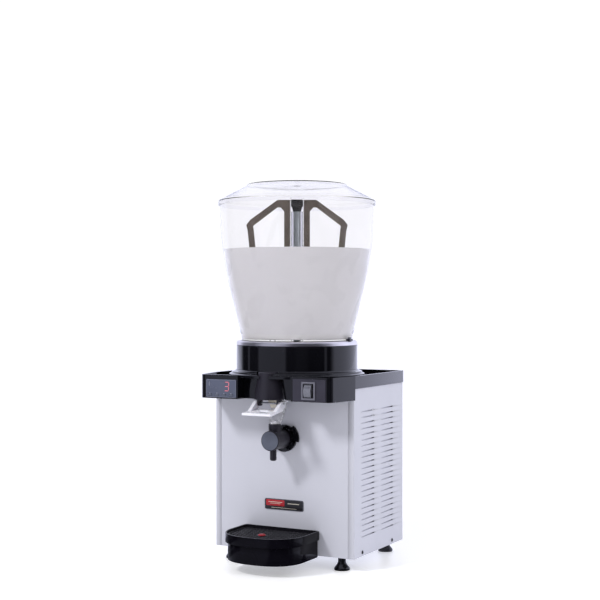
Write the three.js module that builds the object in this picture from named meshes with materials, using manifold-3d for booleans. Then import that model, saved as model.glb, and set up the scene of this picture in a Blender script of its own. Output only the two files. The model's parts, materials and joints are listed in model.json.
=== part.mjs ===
// Chilled drink dispenser with one clear bowl, a stirring frame, a lever tap and a foam pump.
// Millimetres, +Z up. The origin is on the floor, at the centre of the machine's footprint.

import * as THREE from 'three';
import { mergeVertices } from 'three/addons/utils/BufferGeometryUtils.js';
import Module from 'manifold-3d';

const wasm = await Module();
wasm.setup();

// ---------------------------------------------------------------- driving dimensions

const GAP = 0.3;                 // clearance between neighbouring pieces
const FAR = 600;                 // longer than anything that a cutter passes through

const CABINET = { width: 330, depth: 249, base: 26.4, top: 373.7, sheet: 1.2, flange: 13.5 };
const PANEL_Y = -56;             // front panel's face, from the origin
const LOUVRE = { rows: 23, first: 65.4, pitch: 11.73, length: 63.5, height: 2.6, columns: [35, 132] };
const FOOT = { x: 130, inset: 15.5, radius: 16.5, neck: 8.25, stud: 4 };

const CONSOLE = { halfWidth: 168, cheek: 151.4, front: -82, cheekY: -68, top: 400, floor: 393.5, wall: 3 };
const CONSOLE_BOTTOM = 350.7;    // underside of the part that stands out over the tap
const POD = { inner: 62, recessY: -55 };
const WINDOW = { x: -101.5, z: 371.7, width: 73, height: 38 };
const SWITCH = { x: 104.2, z: 373.3, width: 31, height: 36.5 };
const KEY_COUNT = 4;

const BOWL_Y = 62;               // bowl axis, behind the front panel
const DRUM = { radius: 129.6, flange: 144.7, bottom: 393.8, top: 459.7, wall: 3.5 };
const PLATE = { top: 469.5, bottom: 460, thickness: 3 };
const BOWL = { base: 469.8, wall: 3, floor: 3.2, column: 12.5, bore: 10.3, columnTop: 744, rim: 764 };
const LID = { radius: 168, skirt: 757, wall: 2 };
const AGITATOR = { inner: 14.6, thickness: 6, bottom: 482, top: 769.5, turn: 28.2 };
const SLEEVE = { radius: 14.2, bore: 12.8, top: 776 };
const SHAFT = { radius: 7.75, bottom: 399, top: 756 };

const TAP_Y = -57.8;             // tap cover axis
const SPOUT_Y = -42;             // outlet tube axis
const COVER = { top: 407.4, bottom: 351.5, topRadius: 23.3, bottomRadius: 32.2, wall: 2 };
const LEVER = { halfWidth: 33, front: -114, lip: 324.6, rear: -62, slope: 0.11, pinY: -58, pinZ: 343 };
const PUMP = { x: 5, z: 266, radius: 20, face: -66, rear: -8, collarY: -45, nozzleY: -51 };
const TRAY = {
  x: -0.5, halfWidth: 88.5, straight: 55, front: 138, bow: 2.5, bottom: 23.5, split: 59.5, seat: 70.8, top: 79,
};

// ---------------------------------------------------------------- materials

const finish = (color, roughness, metalness = 0) =>
  new THREE.MeshStandardMaterial({ color, roughness, metalness });

const whitePaint = () => finish(0xd3d4e0, 0.35);
const glossBlack = () => finish(0x08080c, 0.12);
const satinBlack = () => finish(0x24242b, 0.45);
const darkGrey = () => finish(0x3a3a46, 0.5);
const slateGrey = () => finish(0x5a5f70, 0.5);
const steel = () => finish(0xb4b4b8, 0.3, 1);
const copper = () => finish(0xb8734a, 0.35, 1);
const rubber = () => finish(0x1a1a1c, 0.8);
const clearPlastic = () => {
  const material = finish(0xeceaf4, 0.06);
  material.transparent = true;
  material.opacity = 0.35;
  return material;
};
const milkyPlastic = () => finish(0xe6e5ec, 0.35);
const ivoryRubber = () => finish(0xcdc6b8, 0.5);
const brownPlastic = () => finish(0x5b5048, 0.5);
const redPlastic = () => finish(0xb01820, 0.35);

// ---------------------------------------------------------------- solids

/** A closed three.js geometry as a solid with its faces pointing out. */
function solid(geometry) {
  const bare = geometry.clone();
  bare.deleteAttribute('normal');
  bare.deleteAttribute('uv');
  const merged = mergeVertices(bare, 1e-4);
  const vertProperties = new Float32Array(merged.attributes.position.array);
  const triVerts = new Uint32Array(merged.index.array);
  if (signedVolume(vertProperties, triVerts) < 0) {
    triVerts.reverse();
  }
  return new wasm.Manifold(new wasm.Mesh({ numProp: 3, vertProperties, triVerts }));
}

function signedVolume(vertices, triangles) {
  const corner = (index) => new THREE.Vector3().fromArray(vertices, 3 * triangles[index]);
  let volume = 0;
  for (let i = 0; i < triangles.length; i += 3) {
    volume += corner(i).dot(corner(i + 1).cross(corner(i + 2)));
  }
  return volume / 6;
}

function geometryOf(manifold) {
  const { vertProperties, triVerts } = manifold.getMesh();
  const geometry = new THREE.BufferGeometry();
  geometry.setAttribute('position', new THREE.BufferAttribute(vertProperties, 3));
  geometry.setIndex(new THREE.BufferAttribute(triVerts, 1));
  geometry.computeVertexNormals();
  return geometry;
}

const join = (first, ...others) => others.reduce((whole, other) => whole.add(other), first);
const cut = (first, ...others) => others.reduce((whole, other) => whole.subtract(other), first);

/** A block between two values on each axis. */
function block([x0, x1], [y0, y1], [z0, z1]) {
  const geometry = new THREE.BoxGeometry(x1 - x0, y1 - y0, z1 - z0);
  geometry.translate((x0 + x1) / 2, (y0 + y1) / 2, (z0 + z1) / 2);
  return solid(geometry);
}

/** A round bar between two heights, with its axis along Z through x, y. */
function post(radius, [z0, z1], x = 0, y = 0, segments = 24) {
  const geometry = new THREE.CylinderGeometry(radius, radius, z1 - z0, segments);
  geometry.rotateX(Math.PI / 2);
  geometry.translate(x, y, (z0 + z1) / 2);
  return solid(geometry);
}

/** A round bar with its axis along Y through x, z. */
function barY(radius, [y0, y1], x = 0, z = 0, segments = 24) {
  const geometry = new THREE.CylinderGeometry(radius, radius, y1 - y0, segments);
  geometry.translate(x, (y0 + y1) / 2, z);
  return solid(geometry);
}

/** A round bar with its axis along X through y, z. */
function barX(radius, [x0, x1], y = 0, z = 0, segments = 16) {
  const geometry = new THREE.CylinderGeometry(radius, radius, x1 - x0, segments);
  geometry.rotateZ(Math.PI / 2);
  geometry.translate((x0 + x1) / 2, y, z);
  return solid(geometry);
}

/** A turned piece: [radius, height] pairs that close on themselves or on the Z axis. */
function turned(profile, segments = 32) {
  const points = profile.map(([radius, height]) => new THREE.Vector2(radius, height));
  if (profile[0][0] > 0) {
    points.push(points[0].clone());
  }
  const geometry = new THREE.LatheGeometry(points, segments);
  geometry.rotateX(Math.PI / 2);
  return solid(geometry);
}

/** A flat outline in X, Y raised between two heights. */
function prism(shape, [z0, z1], curveSegments = 3) {
  const geometry = new THREE.ExtrudeGeometry(shape, { depth: z1 - z0, bevelEnabled: false, curveSegments });
  geometry.translate(0, 0, z0);
  return solid(geometry);
}

/** A flat outline drawn in X, Z and given a thickness along Y. */
function slab(shape, [y0, y1], curveSegments = 3) {
  const geometry = new THREE.ExtrudeGeometry(shape, { depth: y1 - y0, bevelEnabled: false, curveSegments });
  geometry.rotateX(Math.PI / 2);
  geometry.translate(0, y1, 0);
  return solid(geometry);
}

/** A flat outline drawn in Y, Z and given a thickness along X. */
function sideSlab(shape, [x0, x1], curveSegments = 3) {
  const geometry = new THREE.ExtrudeGeometry(shape, { depth: x1 - x0, bevelEnabled: false, curveSegments });
  geometry.rotateY(Math.PI / 2);
  geometry.rotateX(Math.PI / 2);
  geometry.translate(x0, 0, 0);
  return solid(geometry);
}

/** A polygon whose corners, each [x, y, radius], are rounded. */
function outline(corners) {
  const shape = new THREE.Shape();
  const at = (index) => corners[(index + corners.length) % corners.length];
  corners.forEach(([x, y, radius = 0], index) => {
    const corner = new THREE.Vector2(x, y);
    const back = new THREE.Vector2(...at(index - 1)).sub(corner).normalize();
    const ahead = new THREE.Vector2(...at(index + 1)).sub(corner).normalize();
    const half = Math.acos(THREE.MathUtils.clamp(back.dot(ahead), -1, 1)) / 2;
    const reach = radius / Math.tan(half);
    const start = corner.clone().addScaledVector(back, reach);
    const end = corner.clone().addScaledVector(ahead, reach);
    if (index === 0) {
      shape.moveTo(start.x, start.y);
    } else {
      shape.lineTo(start.x, start.y);
    }
    if (radius > 0) {
      shape.quadraticCurveTo(x, y, end.x, end.y);
    }
  });
  shape.closePath();
  return shape;
}

const plaque = (x, z, width, height, radius) => outline([
  [x - width / 2, z - height / 2, radius],
  [x + width / 2, z - height / 2, radius],
  [x + width / 2, z + height / 2, radius],
  [x - width / 2, z + height / 2, radius],
]);

/** A tube between rings of points: the rings run up the outside and back down the inside. */
function ringTube(rings) {
  const sides = rings[0].length;
  const positions = rings.flat().flatMap((point) => point.toArray());
  const indices = [];
  rings.forEach((ring, level) => {
    const next = (level + 1) % rings.length;
    for (let side = 0; side < sides; side += 1) {
      const a = level * sides + side;
      const b = level * sides + ((side + 1) % sides);
      const c = next * sides + ((side + 1) % sides);
      const d = next * sides + side;
      indices.push(a, b, c, a, c, d);
    }
  });
  const geometry = new THREE.BufferGeometry();
  geometry.setAttribute('position', new THREE.Float32BufferAttribute(positions, 3));
  geometry.setIndex(indices);
  return solid(geometry);
}

/** A round bar of the given radius that follows a curve. */
function bar(curve, radius, steps, sides = 8) {
  const section = new THREE.Shape();
  section.absarc(0, 0, radius, 0, 2 * Math.PI);
  const geometry = new THREE.ExtrudeGeometry(section, {
    steps,
    curveSegments: sides,
    bevelEnabled: false,
    extrudePath: curve,
  });
  return solid(geometry);
}

function piece(name, manifold, material) {
  const mesh = new THREE.Mesh(geometryOf(manifold), material);
  mesh.name = name;
  return mesh;
}

function group(x, y, z, ...children) {
  const made = new THREE.Group();
  made.position.set(x, y, z);
  made.add(...children);
  return made;
}

// ---------------------------------------------------------------- cabinet

const halfCabinet = CABINET.width / 2;
const panelHalf = halfCabinet - CABINET.flange - GAP;
const footPlaces = [-1, 1].flatMap((side) => [
  { name: side < 0 ? 'foot_front_left' : 'foot_front_right', x: side * FOOT.x, y: FOOT.inset },
  { name: side < 0 ? 'foot_rear_left' : 'foot_rear_right', x: side * FOOT.x, y: CABINET.depth - FOOT.inset },
]);

function basePan() {
  const half = halfCabinet - CABINET.sheet - GAP;
  const front = CABINET.sheet + GAP;
  const rear = CABINET.depth - CABINET.sheet - GAP;
  const wall = 1.5;
  const outer = block([-half, half], [front, rear], [CABINET.base, CABINET.base + 16]);
  const inner = block([-half + wall, half - wall], [front + wall, rear - wall], [CABINET.base + wall, FAR]);
  const holes = footPlaces.map(({ x, y }) => post(FOOT.stud + GAP, [0, 100], x, y, 16));
  return cut(outer, inner, ...holes);
}

/** One side sheet: its two folded flanges and two columns of louvre slots. */
function sidePanel(side) {
  const heights = [CABINET.base, CABINET.top];
  const across = (a, b) => (side > 0 ? [a, b] : [-b, -a]);
  const inner = halfCabinet - CABINET.sheet;
  const flange = across(halfCabinet - CABINET.flange, halfCabinet);
  const sheet = join(
    block(across(inner, halfCabinet), [0, CABINET.depth], heights),
    block(flange, [0, CABINET.sheet], heights),
    block(flange, [CABINET.depth - CABINET.sheet, CABINET.depth], heights),
  );
  const slots = LOUVRE.columns.flatMap((y) => Array.from({ length: LOUVRE.rows }, (_, row) => {
    const z = LOUVRE.first + row * LOUVRE.pitch;
    return block(across(inner - 1, halfCabinet + 1), [y, y + LOUVRE.length], [z, z + LOUVRE.height]);
  }));
  return cut(sheet, ...slots);
}

/** A sheet between the side flanges, with folded returns that stiffen its edges. */
function endPanel(face, inward) {
  const span = (a, b) => [Math.min(a, b), Math.max(a, b)];
  const inner = face + inward * CABINET.sheet;
  const fold = span(inner, inner + inward * 12);
  const folds = [-1, 1].map((side) => block(
    span(side * (panelHalf - CABINET.sheet), side * panelHalf),
    fold,
    [CABINET.base + 20, CABINET.top - 25],
  ));
  const sheet = block([-panelHalf, panelHalf], span(face, inner), [CABINET.base, CABINET.top - GAP]);
  return join(sheet, ...folds);
}

function frontPanel() {
  return cut(endPanel(0, 1), barY(14, [-5, 20], PUMP.x, PUMP.z));
}

const INLET = { x: 95, z: 75, width: 48, height: 28 };

function rearPanel() {
  const vents = Array.from({ length: 14 }, (_, row) => {
    const z = 150 + row * 13;
    return block([-105, 105], [CABINET.depth - 5, CABINET.depth + 5], [z, z + 4]);
  });
  const inletHole = block(
    [INLET.x - INLET.width / 2 - GAP, INLET.x + INLET.width / 2 + GAP],
    [CABINET.depth - 5, CABINET.depth + 5],
    [INLET.z - INLET.height / 2 - GAP, INLET.z + INLET.height / 2 + GAP],
  );
  return cut(endPanel(CABINET.depth, -1), inletHole, ...vents);
}

/** Appliance inlet: a flush housing with a socket and three flat pins. */
function mainsInlet() {
  const rear = CABINET.depth;
  const housing = slab(plaque(INLET.x, INLET.z, INLET.width, INLET.height, 3), [rear - 24, rear]);
  const socket = slab(plaque(INLET.x, INLET.z, 24, 16, 2), [rear - 16, rear + 1]);
  const pins = [-7, 0, 7].map((offset) => {
    const z = INLET.z + (offset === 0 ? 3 : -2);
    return block([INLET.x + offset - 1, INLET.x + offset + 1], [rear - 17, rear - 3], [z - 2, z + 2]);
  });
  return join(cut(housing, socket), ...pins);
}

/** Levelling foot: a bell of moulded plastic on a threaded stud. */
function foot() {
  return turned([
    [0, 0], [FOOT.radius, 0], [FOOT.radius, 4], [10.5, 11], [FOOT.neck, 18],
    [FOOT.neck, CABINET.base - GAP], [FOOT.stud, CABINET.base - GAP], [FOOT.stud, 42], [0, 42],
  ], 16);
}

// ---------------------------------------------------------------- works inside the cabinet

const CONDENSER = { x: [122, 148], y: [55, 215], z: [46, 196] };
const FAN = { y: 135, z: 121, radius: 58 };

function compressor() {
  const shell = turned([
    [0, 32], [52, 32], [56, 38], [56, 92], [50, 112], [34, 124], [0, 128],
  ], 32);
  const feet = block([-60, 60], [-30, 30], [29, 33]);
  return join(shell, feet);
}

/** A finned block: thin plates on four tubes. */
function condenser() {
  const fins = Array.from({ length: 7 }, (_, index) => {
    const y = CONDENSER.y[0] + 5 + index * 25;
    return block(CONDENSER.x, [y, y + 1.5], CONDENSER.z);
  });
  const tubes = [80, 162].map((z) => barY(4.5, CONDENSER.y, 135, z, 8));
  return join(tubes[0], ...fins, ...tubes.slice(1));
}

function fanBlade() {
  const hub = barX(14, [100, 114], FAN.y, FAN.z, 20);
  const blades = Array.from({ length: 5 }, (_, index) => {
    const blade = new THREE.BoxGeometry(1.8, 30, FAN.radius - 10);
    blade.rotateZ(0.5);
    blade.translate(107, 0, (FAN.radius + 10) / 2);
    blade.rotateX((index * 2 * Math.PI) / 5);
    blade.translate(0, FAN.y, FAN.z);
    return solid(blade);
  });
  return join(hub, ...blades);
}

function fanMotor() {
  return join(
    barX(22, [58, 92], FAN.y, FAN.z, 24),
    barX(3, [92, 99.7], FAN.y, FAN.z, 12),
    block([64, 86], [FAN.y - 12, FAN.y + 12], [29, FAN.z]),
  );
}

/** Stirrer motor: a gearbox under the cooling plate with the motor hanging from it. */
function gearMotor() {
  return join(
    post(46, [352, 388], 0, BOWL_Y, 32),
    post(30, [300, 352], 0, BOWL_Y, 20),
    post(12, [388, SHAFT.bottom - GAP], 0, BOWL_Y, 20),
  );
}

function pumpMotor() {
  return join(
    barY(27, [16, 78], PUMP.x, PUMP.z, 28),
    barY(12, [4, 16], PUMP.x, PUMP.z, 20),
    barY(4, [-16, 5], PUMP.x, PUMP.z, 16),
  );
}

// ---------------------------------------------------------------- console

/** The console's plan, drawn in from its outer face. */
function consolePlan(inset = 0) {
  const side = CONSOLE.halfWidth - inset;
  const cheek = CONSOLE.cheek + 1 - inset;
  const front = CONSOLE.front + inset;
  const rear = CABINET.depth - inset;
  const softness = Math.max(15 - inset, 2);
  return outline([
    [-side, rear, 5], [-side, 0, 4], [-cheek, front, softness],
    [cheek, front, softness], [side, 0, 4], [side, rear, 5],
  ]);
}

/** Moulded top: a shallow tray above, open below, with a pod at each side of the tap. */
function consoleTop() {
  const { top, floor, wall } = CONSOLE;
  const behindPanel = block([-FAR, FAR], [-GAP, FAR], [0, CABINET.top + GAP]);
  const shell = cut(prism(consolePlan(), [CONSOLE_BOTTOM, top]), behindPanel);
  const tray = prism(consolePlan(wall + 1), [floor, FAR]);
  const under = cut(prism(consolePlan(wall), [0, floor - wall]), recessWall());
  const recess = block([-POD.inner, POD.inner], [-FAR, POD.recessY], [0, FAR]);
  const drumHole = post(118, [0, FAR], 0, BOWL_Y, 48);
  const coverHole = turned([
    [0, 0], [COVER.bottomRadius + 2.2, 0], [COVER.bottomRadius + 2.2, COVER.bottom],
    [COVER.topRadius + 2.2, COVER.top], [COVER.topRadius + 2.2, FAR], [0, FAR],
  ]).translate([0, TAP_Y, 0]);
  const windowHole = slab(plaque(WINDOW.x, WINDOW.z, WINDOW.width, WINDOW.height, 2), [-95, -70]);
  const switchHole = slab(plaque(SWITCH.x, SWITCH.z, SWITCH.width - 4, SWITCH.height - 4, 1), [-95, -70]);
  return cut(shell, tray, under, recess, drumHole, coverHole, windowHole, switchHole);
}

/** The part of the underside that stays solid, so that the recess between the pods has walls. */
function recessWall() {
  const reach = POD.inner + CONSOLE.wall;
  return block([-reach, reach], [-FAR, POD.recessY + CONSOLE.wall], [0, FAR]);
}

function switchPlate() {
  const plate = slab(plaque(SWITCH.x + 1, 374, 74, 45, 1), [CONSOLE.front - 2, CONSOLE.front - GAP]);
  const hole = slab(plaque(SWITCH.x, SWITCH.z, SWITCH.width - 4, SWITCH.height - 4, 1), [-95, -70]);
  return cut(plate, hole);
}

/** Frame and body of the rocker switch. */
function switchBezel() {
  const face = CONSOLE.front - 2 - GAP;
  const frame = slab(plaque(SWITCH.x, SWITCH.z, SWITCH.width, SWITCH.height, 2), [face - 2.2, face]);
  const body = slab(
    plaque(SWITCH.x, SWITCH.z, SWITCH.width - 4 - 2 * GAP, SWITCH.height - 4 - 2 * GAP, 1),
    [face, face + 24],
  );
  const well = block([SWITCH.x - 12.2, SWITCH.x + 11.8], [-FAR, face + 11], [SWITCH.z - 14.5, SWITCH.z + 14.5]);
  return cut(join(frame, body), well);
}

/** Rocker: a bent-faced key that is pressed in at its lower edge at rest. */
function switchRocker() {
  const profile = outline([[-4, -13.5, 1], [-7, 0, 0], [-1.4, 13.5, 1], [3, 11, 1], [5, 0, 2], [1, -12, 1]]);
  return sideSlab(profile, [-11, 5.2]);
}

function thermostatBody() {
  const { x, z, width, height } = WINDOW;
  const front = CONSOLE.front + 2.7;
  return block(
    [x - width / 2 + 2, x + width / 2 - 2],
    [front, front + 22],
    [z - height / 2 + 2, z + height / 2 - 1],
  );
}

const keyX = (index) => WINDOW.x - 27 + index * 17;
const KEY = { width: 9, height: 3.6, z: WINDOW.z - WINDOW.height / 2 + 5.2 };

function displayWindow() {
  const { x, z, width, height } = WINDOW;
  const pane = slab(plaque(x, z, width - 2 * GAP, height - 2 * GAP, 1.7), [CONSOLE.front - 1.2, CONSOLE.front + 1]);
  const keyHoles = Array.from({ length: KEY_COUNT }, (_, index) => block(
    [keyX(index) - KEY.width / 2 - GAP, keyX(index) + KEY.width / 2 + GAP],
    [-FAR, 0],
    [KEY.z - KEY.height / 2 - GAP, KEY.z + KEY.height / 2 + GAP],
  ));
  return cut(pane, ...keyHoles);
}

function thermostatKey() {
  return slab(plaque(0, 0, KEY.width, KEY.height, 0.8), [-2, 1.6]);
}

// ---------------------------------------------------------------- drum, plate and bowl (axis at 0, 0)

/** Outer radius of the bowl at a height: a straight flare that eases into an upright rim. */
const BOWL_FLARE = [
  [118.4, 473.5], [133, 535], [147.9, 600], [158.6, 668], [163, 715], [164.8, 757], [164.8, BOWL.rim],
];

function collarDrum() {
  const { radius, flange, bottom, top, wall } = DRUM;
  const ring = turned([
    [radius - wall, bottom], [flange, bottom], [flange, 399.5], [flange - 1.5, 401], [139.5, 401.5],
    [138.5, 404.5], [134, 405.5], [radius, 408.5], [radius, top], [radius - wall, top],
  ]);
  const coverNotch = post(COVER.topRadius + 3.2, [0, COVER.top + GAP], 0, TAP_Y - BOWL_Y, 32);
  return cut(ring, coverNotch);
}

function coolingPlate() {
  const { top, bottom, thickness } = PLATE;
  const disc = turned([
    [SHAFT.radius + GAP + 3, top - thickness], [DRUM.radius - 5, top - thickness], [DRUM.radius - 5, bottom],
    [DRUM.radius - 0.8, bottom], [DRUM.radius, bottom + 0.8], [DRUM.radius, top - 1.5],
    [DRUM.radius - 1.5, top], [SHAFT.radius + GAP + 3, top],
  ]);
  const outlet = post(11 + GAP, [0, FAR], 0, SPOUT_Y - BOWL_Y, 24);
  return cut(disc, outlet);
}

const evaporatorCoil = () => {
  const spiral = new THREE.CatmullRomCurve3(Array.from({ length: 73 }, (_, index) => {
    const angle = (index / 12) * Math.PI;
    const radius = 30 + index * 0.75;
    return new THREE.Vector3(radius * Math.cos(angle), radius * Math.sin(angle), 456);
  }));
  return bar(spiral, 4, 44, 3);
};

const shaftBush = () => turned([
  [SHAFT.radius + GAP, 461], [SHAFT.radius + 2.7, 461], [SHAFT.radius + 2.7, PLATE.top],
  [SHAFT.radius + GAP, PLATE.top],
], 24);

/** Ring that seals the bowl's outlet onto the spout. */
const outletSeal = () => turned([[6, 464.7], [10.8, 464.7], [10.8, PLATE.top], [6, PLATE.top]], 20);

/** Clear bowl: flared wall, flat floor and the hollow column that the shaft runs up. */
function bowl() {
  const outside = [[BOWL_FLARE[0][0], BOWL.base], ...BOWL_FLARE];
  const inside = BOWL_FLARE.map(([radius, height]) => [radius - BOWL.wall, height]).reverse();
  const floorTop = BOWL.base + BOWL.floor;
  inside[inside.length - 1] = [BOWL_FLARE[0][0] - BOWL.wall - 1, floorTop + 2];
  const cup = turned([
    [BOWL.bore, BOWL.base], ...outside, ...inside, [BOWL_FLARE[0][0] - BOWL.wall - 3, floorTop],
    [BOWL.column + 3, floorTop], [BOWL.column, floorTop + 3], [BOWL.column, BOWL.columnTop],
    [BOWL.bore, BOWL.columnTop],
  ]);
  return cut(cup, post(6, [0, 480], 0, SPOUT_Y - BOWL_Y, 20));
}

/** Clear lid: skirt over the rim, rounded shoulder, shallow cone and a raised flat with a dimple. */
function lid() {
  const { radius, skirt, wall } = LID;
  return turned([
    [0, 795], [5, 795.4], [8.5, 802], [103, 802], [106, 797.5], [151, 775.7], [163, 770.5],
    [radius, 765.5], [radius, skirt], [radius - wall, skirt], [radius - wall, 764.2],
    [161.5, 768.2], [150.2, 773.4], [104.3, 795.3], [101, 799.8], [9.8, 799.8], [6.4, 793.6], [0, 793],
  ]);
}

/** Half of the stirring frame, as an outline in X, Z with its window cut through. */
function agitatorHalf(side) {
  const shape = (corners) => outline(side > 0 ? corners : corners.map(([x, z, r]) => [-x, z, r]).reverse());
  const { inner, thickness, top, bottom } = AGITATOR;
  const outer = shape([
    [inner, top, 0], [41.5, top, 3], [100, 727, 6], [108.5, 716, 4], [105.5, 703, 5],
    [86, 500, 8], [80, bottom, 8], [inner, bottom, 0],
  ]);
  const opening = shape([
    [27.5, 745, 2], [35, 753.5, 2], [42, 753.5, 2], [94, 714, 3], [92.5, 704, 3],
    [73, 503, 4], [68, bottom + 14, 3], [27.5, bottom + 14, 3],
  ]);
  return cut(slab(outer, [-thickness / 2, thickness / 2]), slab(opening, [-10, 10]));
}

/** Flat stirring frame, parked at a slant: two halves on a ring that slides over the sleeve. */
function agitatorFrame() {
  const { inner, bottom } = AGITATOR;
  const ring = turned([[inner, bottom], [20, bottom], [20, bottom + 12], [inner, bottom + 12]], 32);
  return join(ring, agitatorHalf(-1), agitatorHalf(1)).rotate([0, 0, AGITATOR.turn]);
}

const agitatorSleeve = () => turned([
  [SLEEVE.bore, 478], [SLEEVE.radius, 478], [SLEEVE.radius, SLEEVE.top], [SLEEVE.bore, SLEEVE.top],
], 32);

/** Hub: a block in the sleeve's top with a tapered boss that the shaft drives. */
function agitatorHub() {
  const grip = SLEEVE.bore - GAP;
  const boss = turned([
    [0, 770], [grip, 770], [grip, 755.5], [grip - 1.4, 754.5], [8.9, 746], [8.9, BOWL.columnTop + GAP],
    [0, BOWL.columnTop + GAP],
  ], 32);
  const socket = post(SHAFT.radius + GAP, [700, SHAFT.top + GAP], 0, 0, 24);
  return cut(boss, socket);
}

const driveShaft = () => turned([
  [0, SHAFT.bottom], [SHAFT.radius, SHAFT.bottom], [SHAFT.radius, SHAFT.top - 1],
  [SHAFT.radius - 1, SHAFT.top], [0, SHAFT.top],
], 24);

const LATCH = { radius: 124.6, base: PLATE.top + GAP, block: 3.6 };

function latchBase() {
  const foundation = block([-4.5, 4.5], [-8, 8], [LATCH.base, LATCH.base + LATCH.block]);
  return join(foundation, post(2.4, [LATCH.base + LATCH.block, LATCH.base + 7.6], 0, 0, 16));
}

/** Turning catch: its nose lies along the rim at rest and swings in towards the bowl. */
function latchTab() {
  const plan = outline([[-3.2, -3.9, 1.8], [3.2, -3.9, 1.8], [3.2, 2.8, 1.5], [1.2, 3.9, 0.5], [-3.2, 3.9, 1.5]]);
  const heights = [LATCH.base + LATCH.block + GAP, LATCH.base + 7.2];
  return cut(prism(plan, heights), post(2.4 + GAP, [0, FAR], 0, 0, 16));
}

// ---------------------------------------------------------------- tap

/** Tapered cover around the outlet, open at the back, with an ear inside each side for the lever. */
function tapCover() {
  const { top, bottom, topRadius, bottomRadius, wall } = COVER;
  const shell = turned([
    [0, top], [topRadius - 1.5, top], [topRadius, top - 1.5], [bottomRadius, bottom],
    [bottomRadius - wall, bottom], [topRadius - wall, top - wall - 1], [0, top - wall],
  ], 28);
  const back = block([-13, 13], [0, FAR], [0, FAR]);
  const ears = [-1, 1].flatMap((side) => {
    const across = (a, b) => (side > 0 ? [a, b] : [-b, -a]);
    const hanger = outline([[-8, 356, 1], [8, 356, 1], [6, 337, 4], [-6, 337, 4]]);
    return [
      sideSlab(hanger, across(20, 25)),
      block(across(24.5, 30.6), [-6, 6], [352.2, 356]),
    ];
  });
  const pinHole = barX(2 + GAP, [-60, 60], LEVER.pinY - TAP_Y, LEVER.pinZ, 20);
  return cut(join(cut(shell, back), ...ears), pinHole);
}

/** Outlet tube with a tapered soft tip. */
function outletSpout() {
  return turned([
    [5, 464.4], [11, 464.4], [11, 358], [12, 350], [5, 333], [3, 333], [3.8, 345], [7, 352],
    [7, 440], [5, 440],
  ], 20);
}

const tapPlunger = () => turned([
  [0, 347], [3.2, 349], [3.2, 400], [6.2, 400], [6.2, 404], [3.2, 404], [3.2, 452], [0, 453],
], 20);

function tapSpring() {
  const turns = 6;
  const [low, high] = [405, 439];
  const helix = new THREE.CatmullRomCurve3(Array.from({ length: turns * 10 + 1 }, (_, index) => {
    const angle = (index / 10) * 2 * Math.PI;
    const height = low + ((high - low) * index) / (turns * 10);
    return new THREE.Vector3(4.9 * Math.cos(angle), 4.9 * Math.sin(angle), height);
  }));
  return bar(helix, 0.5, turns * 9, 2);
}

const leverHeight = (y) => LEVER.lip + (y - LEVER.front) * LEVER.slope;

/** Push lever: a sloping plate with a thick front lip and two cheeks on the pivot pin. */
function tapLever() {
  const { halfWidth, front, rear, pinY, pinZ } = LEVER;
  const plateSide = outline([
    [front, leverHeight(front) - 3.5, 1], [front + 5, leverHeight(front) - 3.4, 0.5],
    [rear, leverHeight(rear) - 2.5, 0], [rear, leverHeight(rear), 0], [front, leverHeight(front) + 1.5, 1],
  ]);
  const cheekSide = outline([
    [front + 9, leverHeight(front + 9) - 1, 0], [rear, leverHeight(rear) - 2.4, 1], [rear + 14, pinZ - 5, 4],
    [rear + 14, pinZ + 4, 4], [rear - 3, pinZ + 4, 4], [front + 24, leverHeight(front + 24) + 1, 1],
  ]);
  const cheeks = [-1, 1].map((side) => sideSlab(cheekSide, side > 0 ? [26, halfWidth] : [-halfWidth, -26]));
  const window = block([-13, 13], [front + 14, rear - 12], [0, FAR]);
  const pinHole = barX(2 + GAP, [-60, 60], pinY, pinZ, 20);
  return cut(join(cut(sideSlab(plateSide, [-halfWidth, halfWidth]), window), ...cheeks), pinHole);
}

const leverPin = () => barX(2, [-LEVER.halfWidth - 1.5, LEVER.halfWidth + 1.5], LEVER.pinY, LEVER.pinZ, 16);

/** Bent clear sleeve from the pump's inlet up under the console, wider at its upper end. */
function feedTube() {
  const sides = 20;
  const centre = new THREE.QuadraticBezierCurve3(
    new THREE.Vector3(PUMP.x, PUMP.collarY, PUMP.z + 34.3),
    new THREE.Vector3(4, -24, 325),
    new THREE.Vector3(2, -14, 362),
  );
  const ring = (t, wall) => Array.from({ length: sides }, (_, side) => {
    const angle = (side * 2 * Math.PI) / sides;
    const middle = centre.getPoint(t);
    const halfX = 12.6 + 7 * t - wall;
    const halfY = 12.6 - 2.6 * t - wall;
    return new THREE.Vector3(halfX * Math.cos(angle), halfY * Math.sin(angle), 0).add(middle);
  });
  const stations = [0, 0.35, 0.7, 1];
  const up = stations.map((t) => ring(t, 0));
  const down = stations.map((t) => ring(t, 2)).reverse();
  return ringTube([...up, ...down]);
}

// ---------------------------------------------------------------- foam pump (axis along Y)

/** Bayonet socket on the front panel: a slotted disc with two lobes and a short collar. */
function bayonetFlange() {
  const disc = barY(28.5, [-6.5, -GAP], 0, 0, 32);
  const lobes = [0.35, 0.35 + Math.PI].map((angle) => {
    const lobe = new THREE.Shape();
    lobe.absarc(0, 0, 34, angle - 0.55, angle + 0.55);
    lobe.lineTo(0, 0);
    return slab(lobe, [-5, -GAP], 5);
  });
  const collar = barY(25, [-15, -6], 0, 0, 28);
  const slots = Array.from({ length: 8 }, (_, index) => {
    const slot = new THREE.BoxGeometry(7, 20, 3);
    slot.translate(24, -12, 0);
    slot.rotateY((index * Math.PI) / 4 + 0.2);
    return solid(slot);
  });
  return cut(join(disc, collar, ...lobes), barY(PUMP.radius + 0.6, [-20, 5], 0, 0, 28), ...slots);
}

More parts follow.
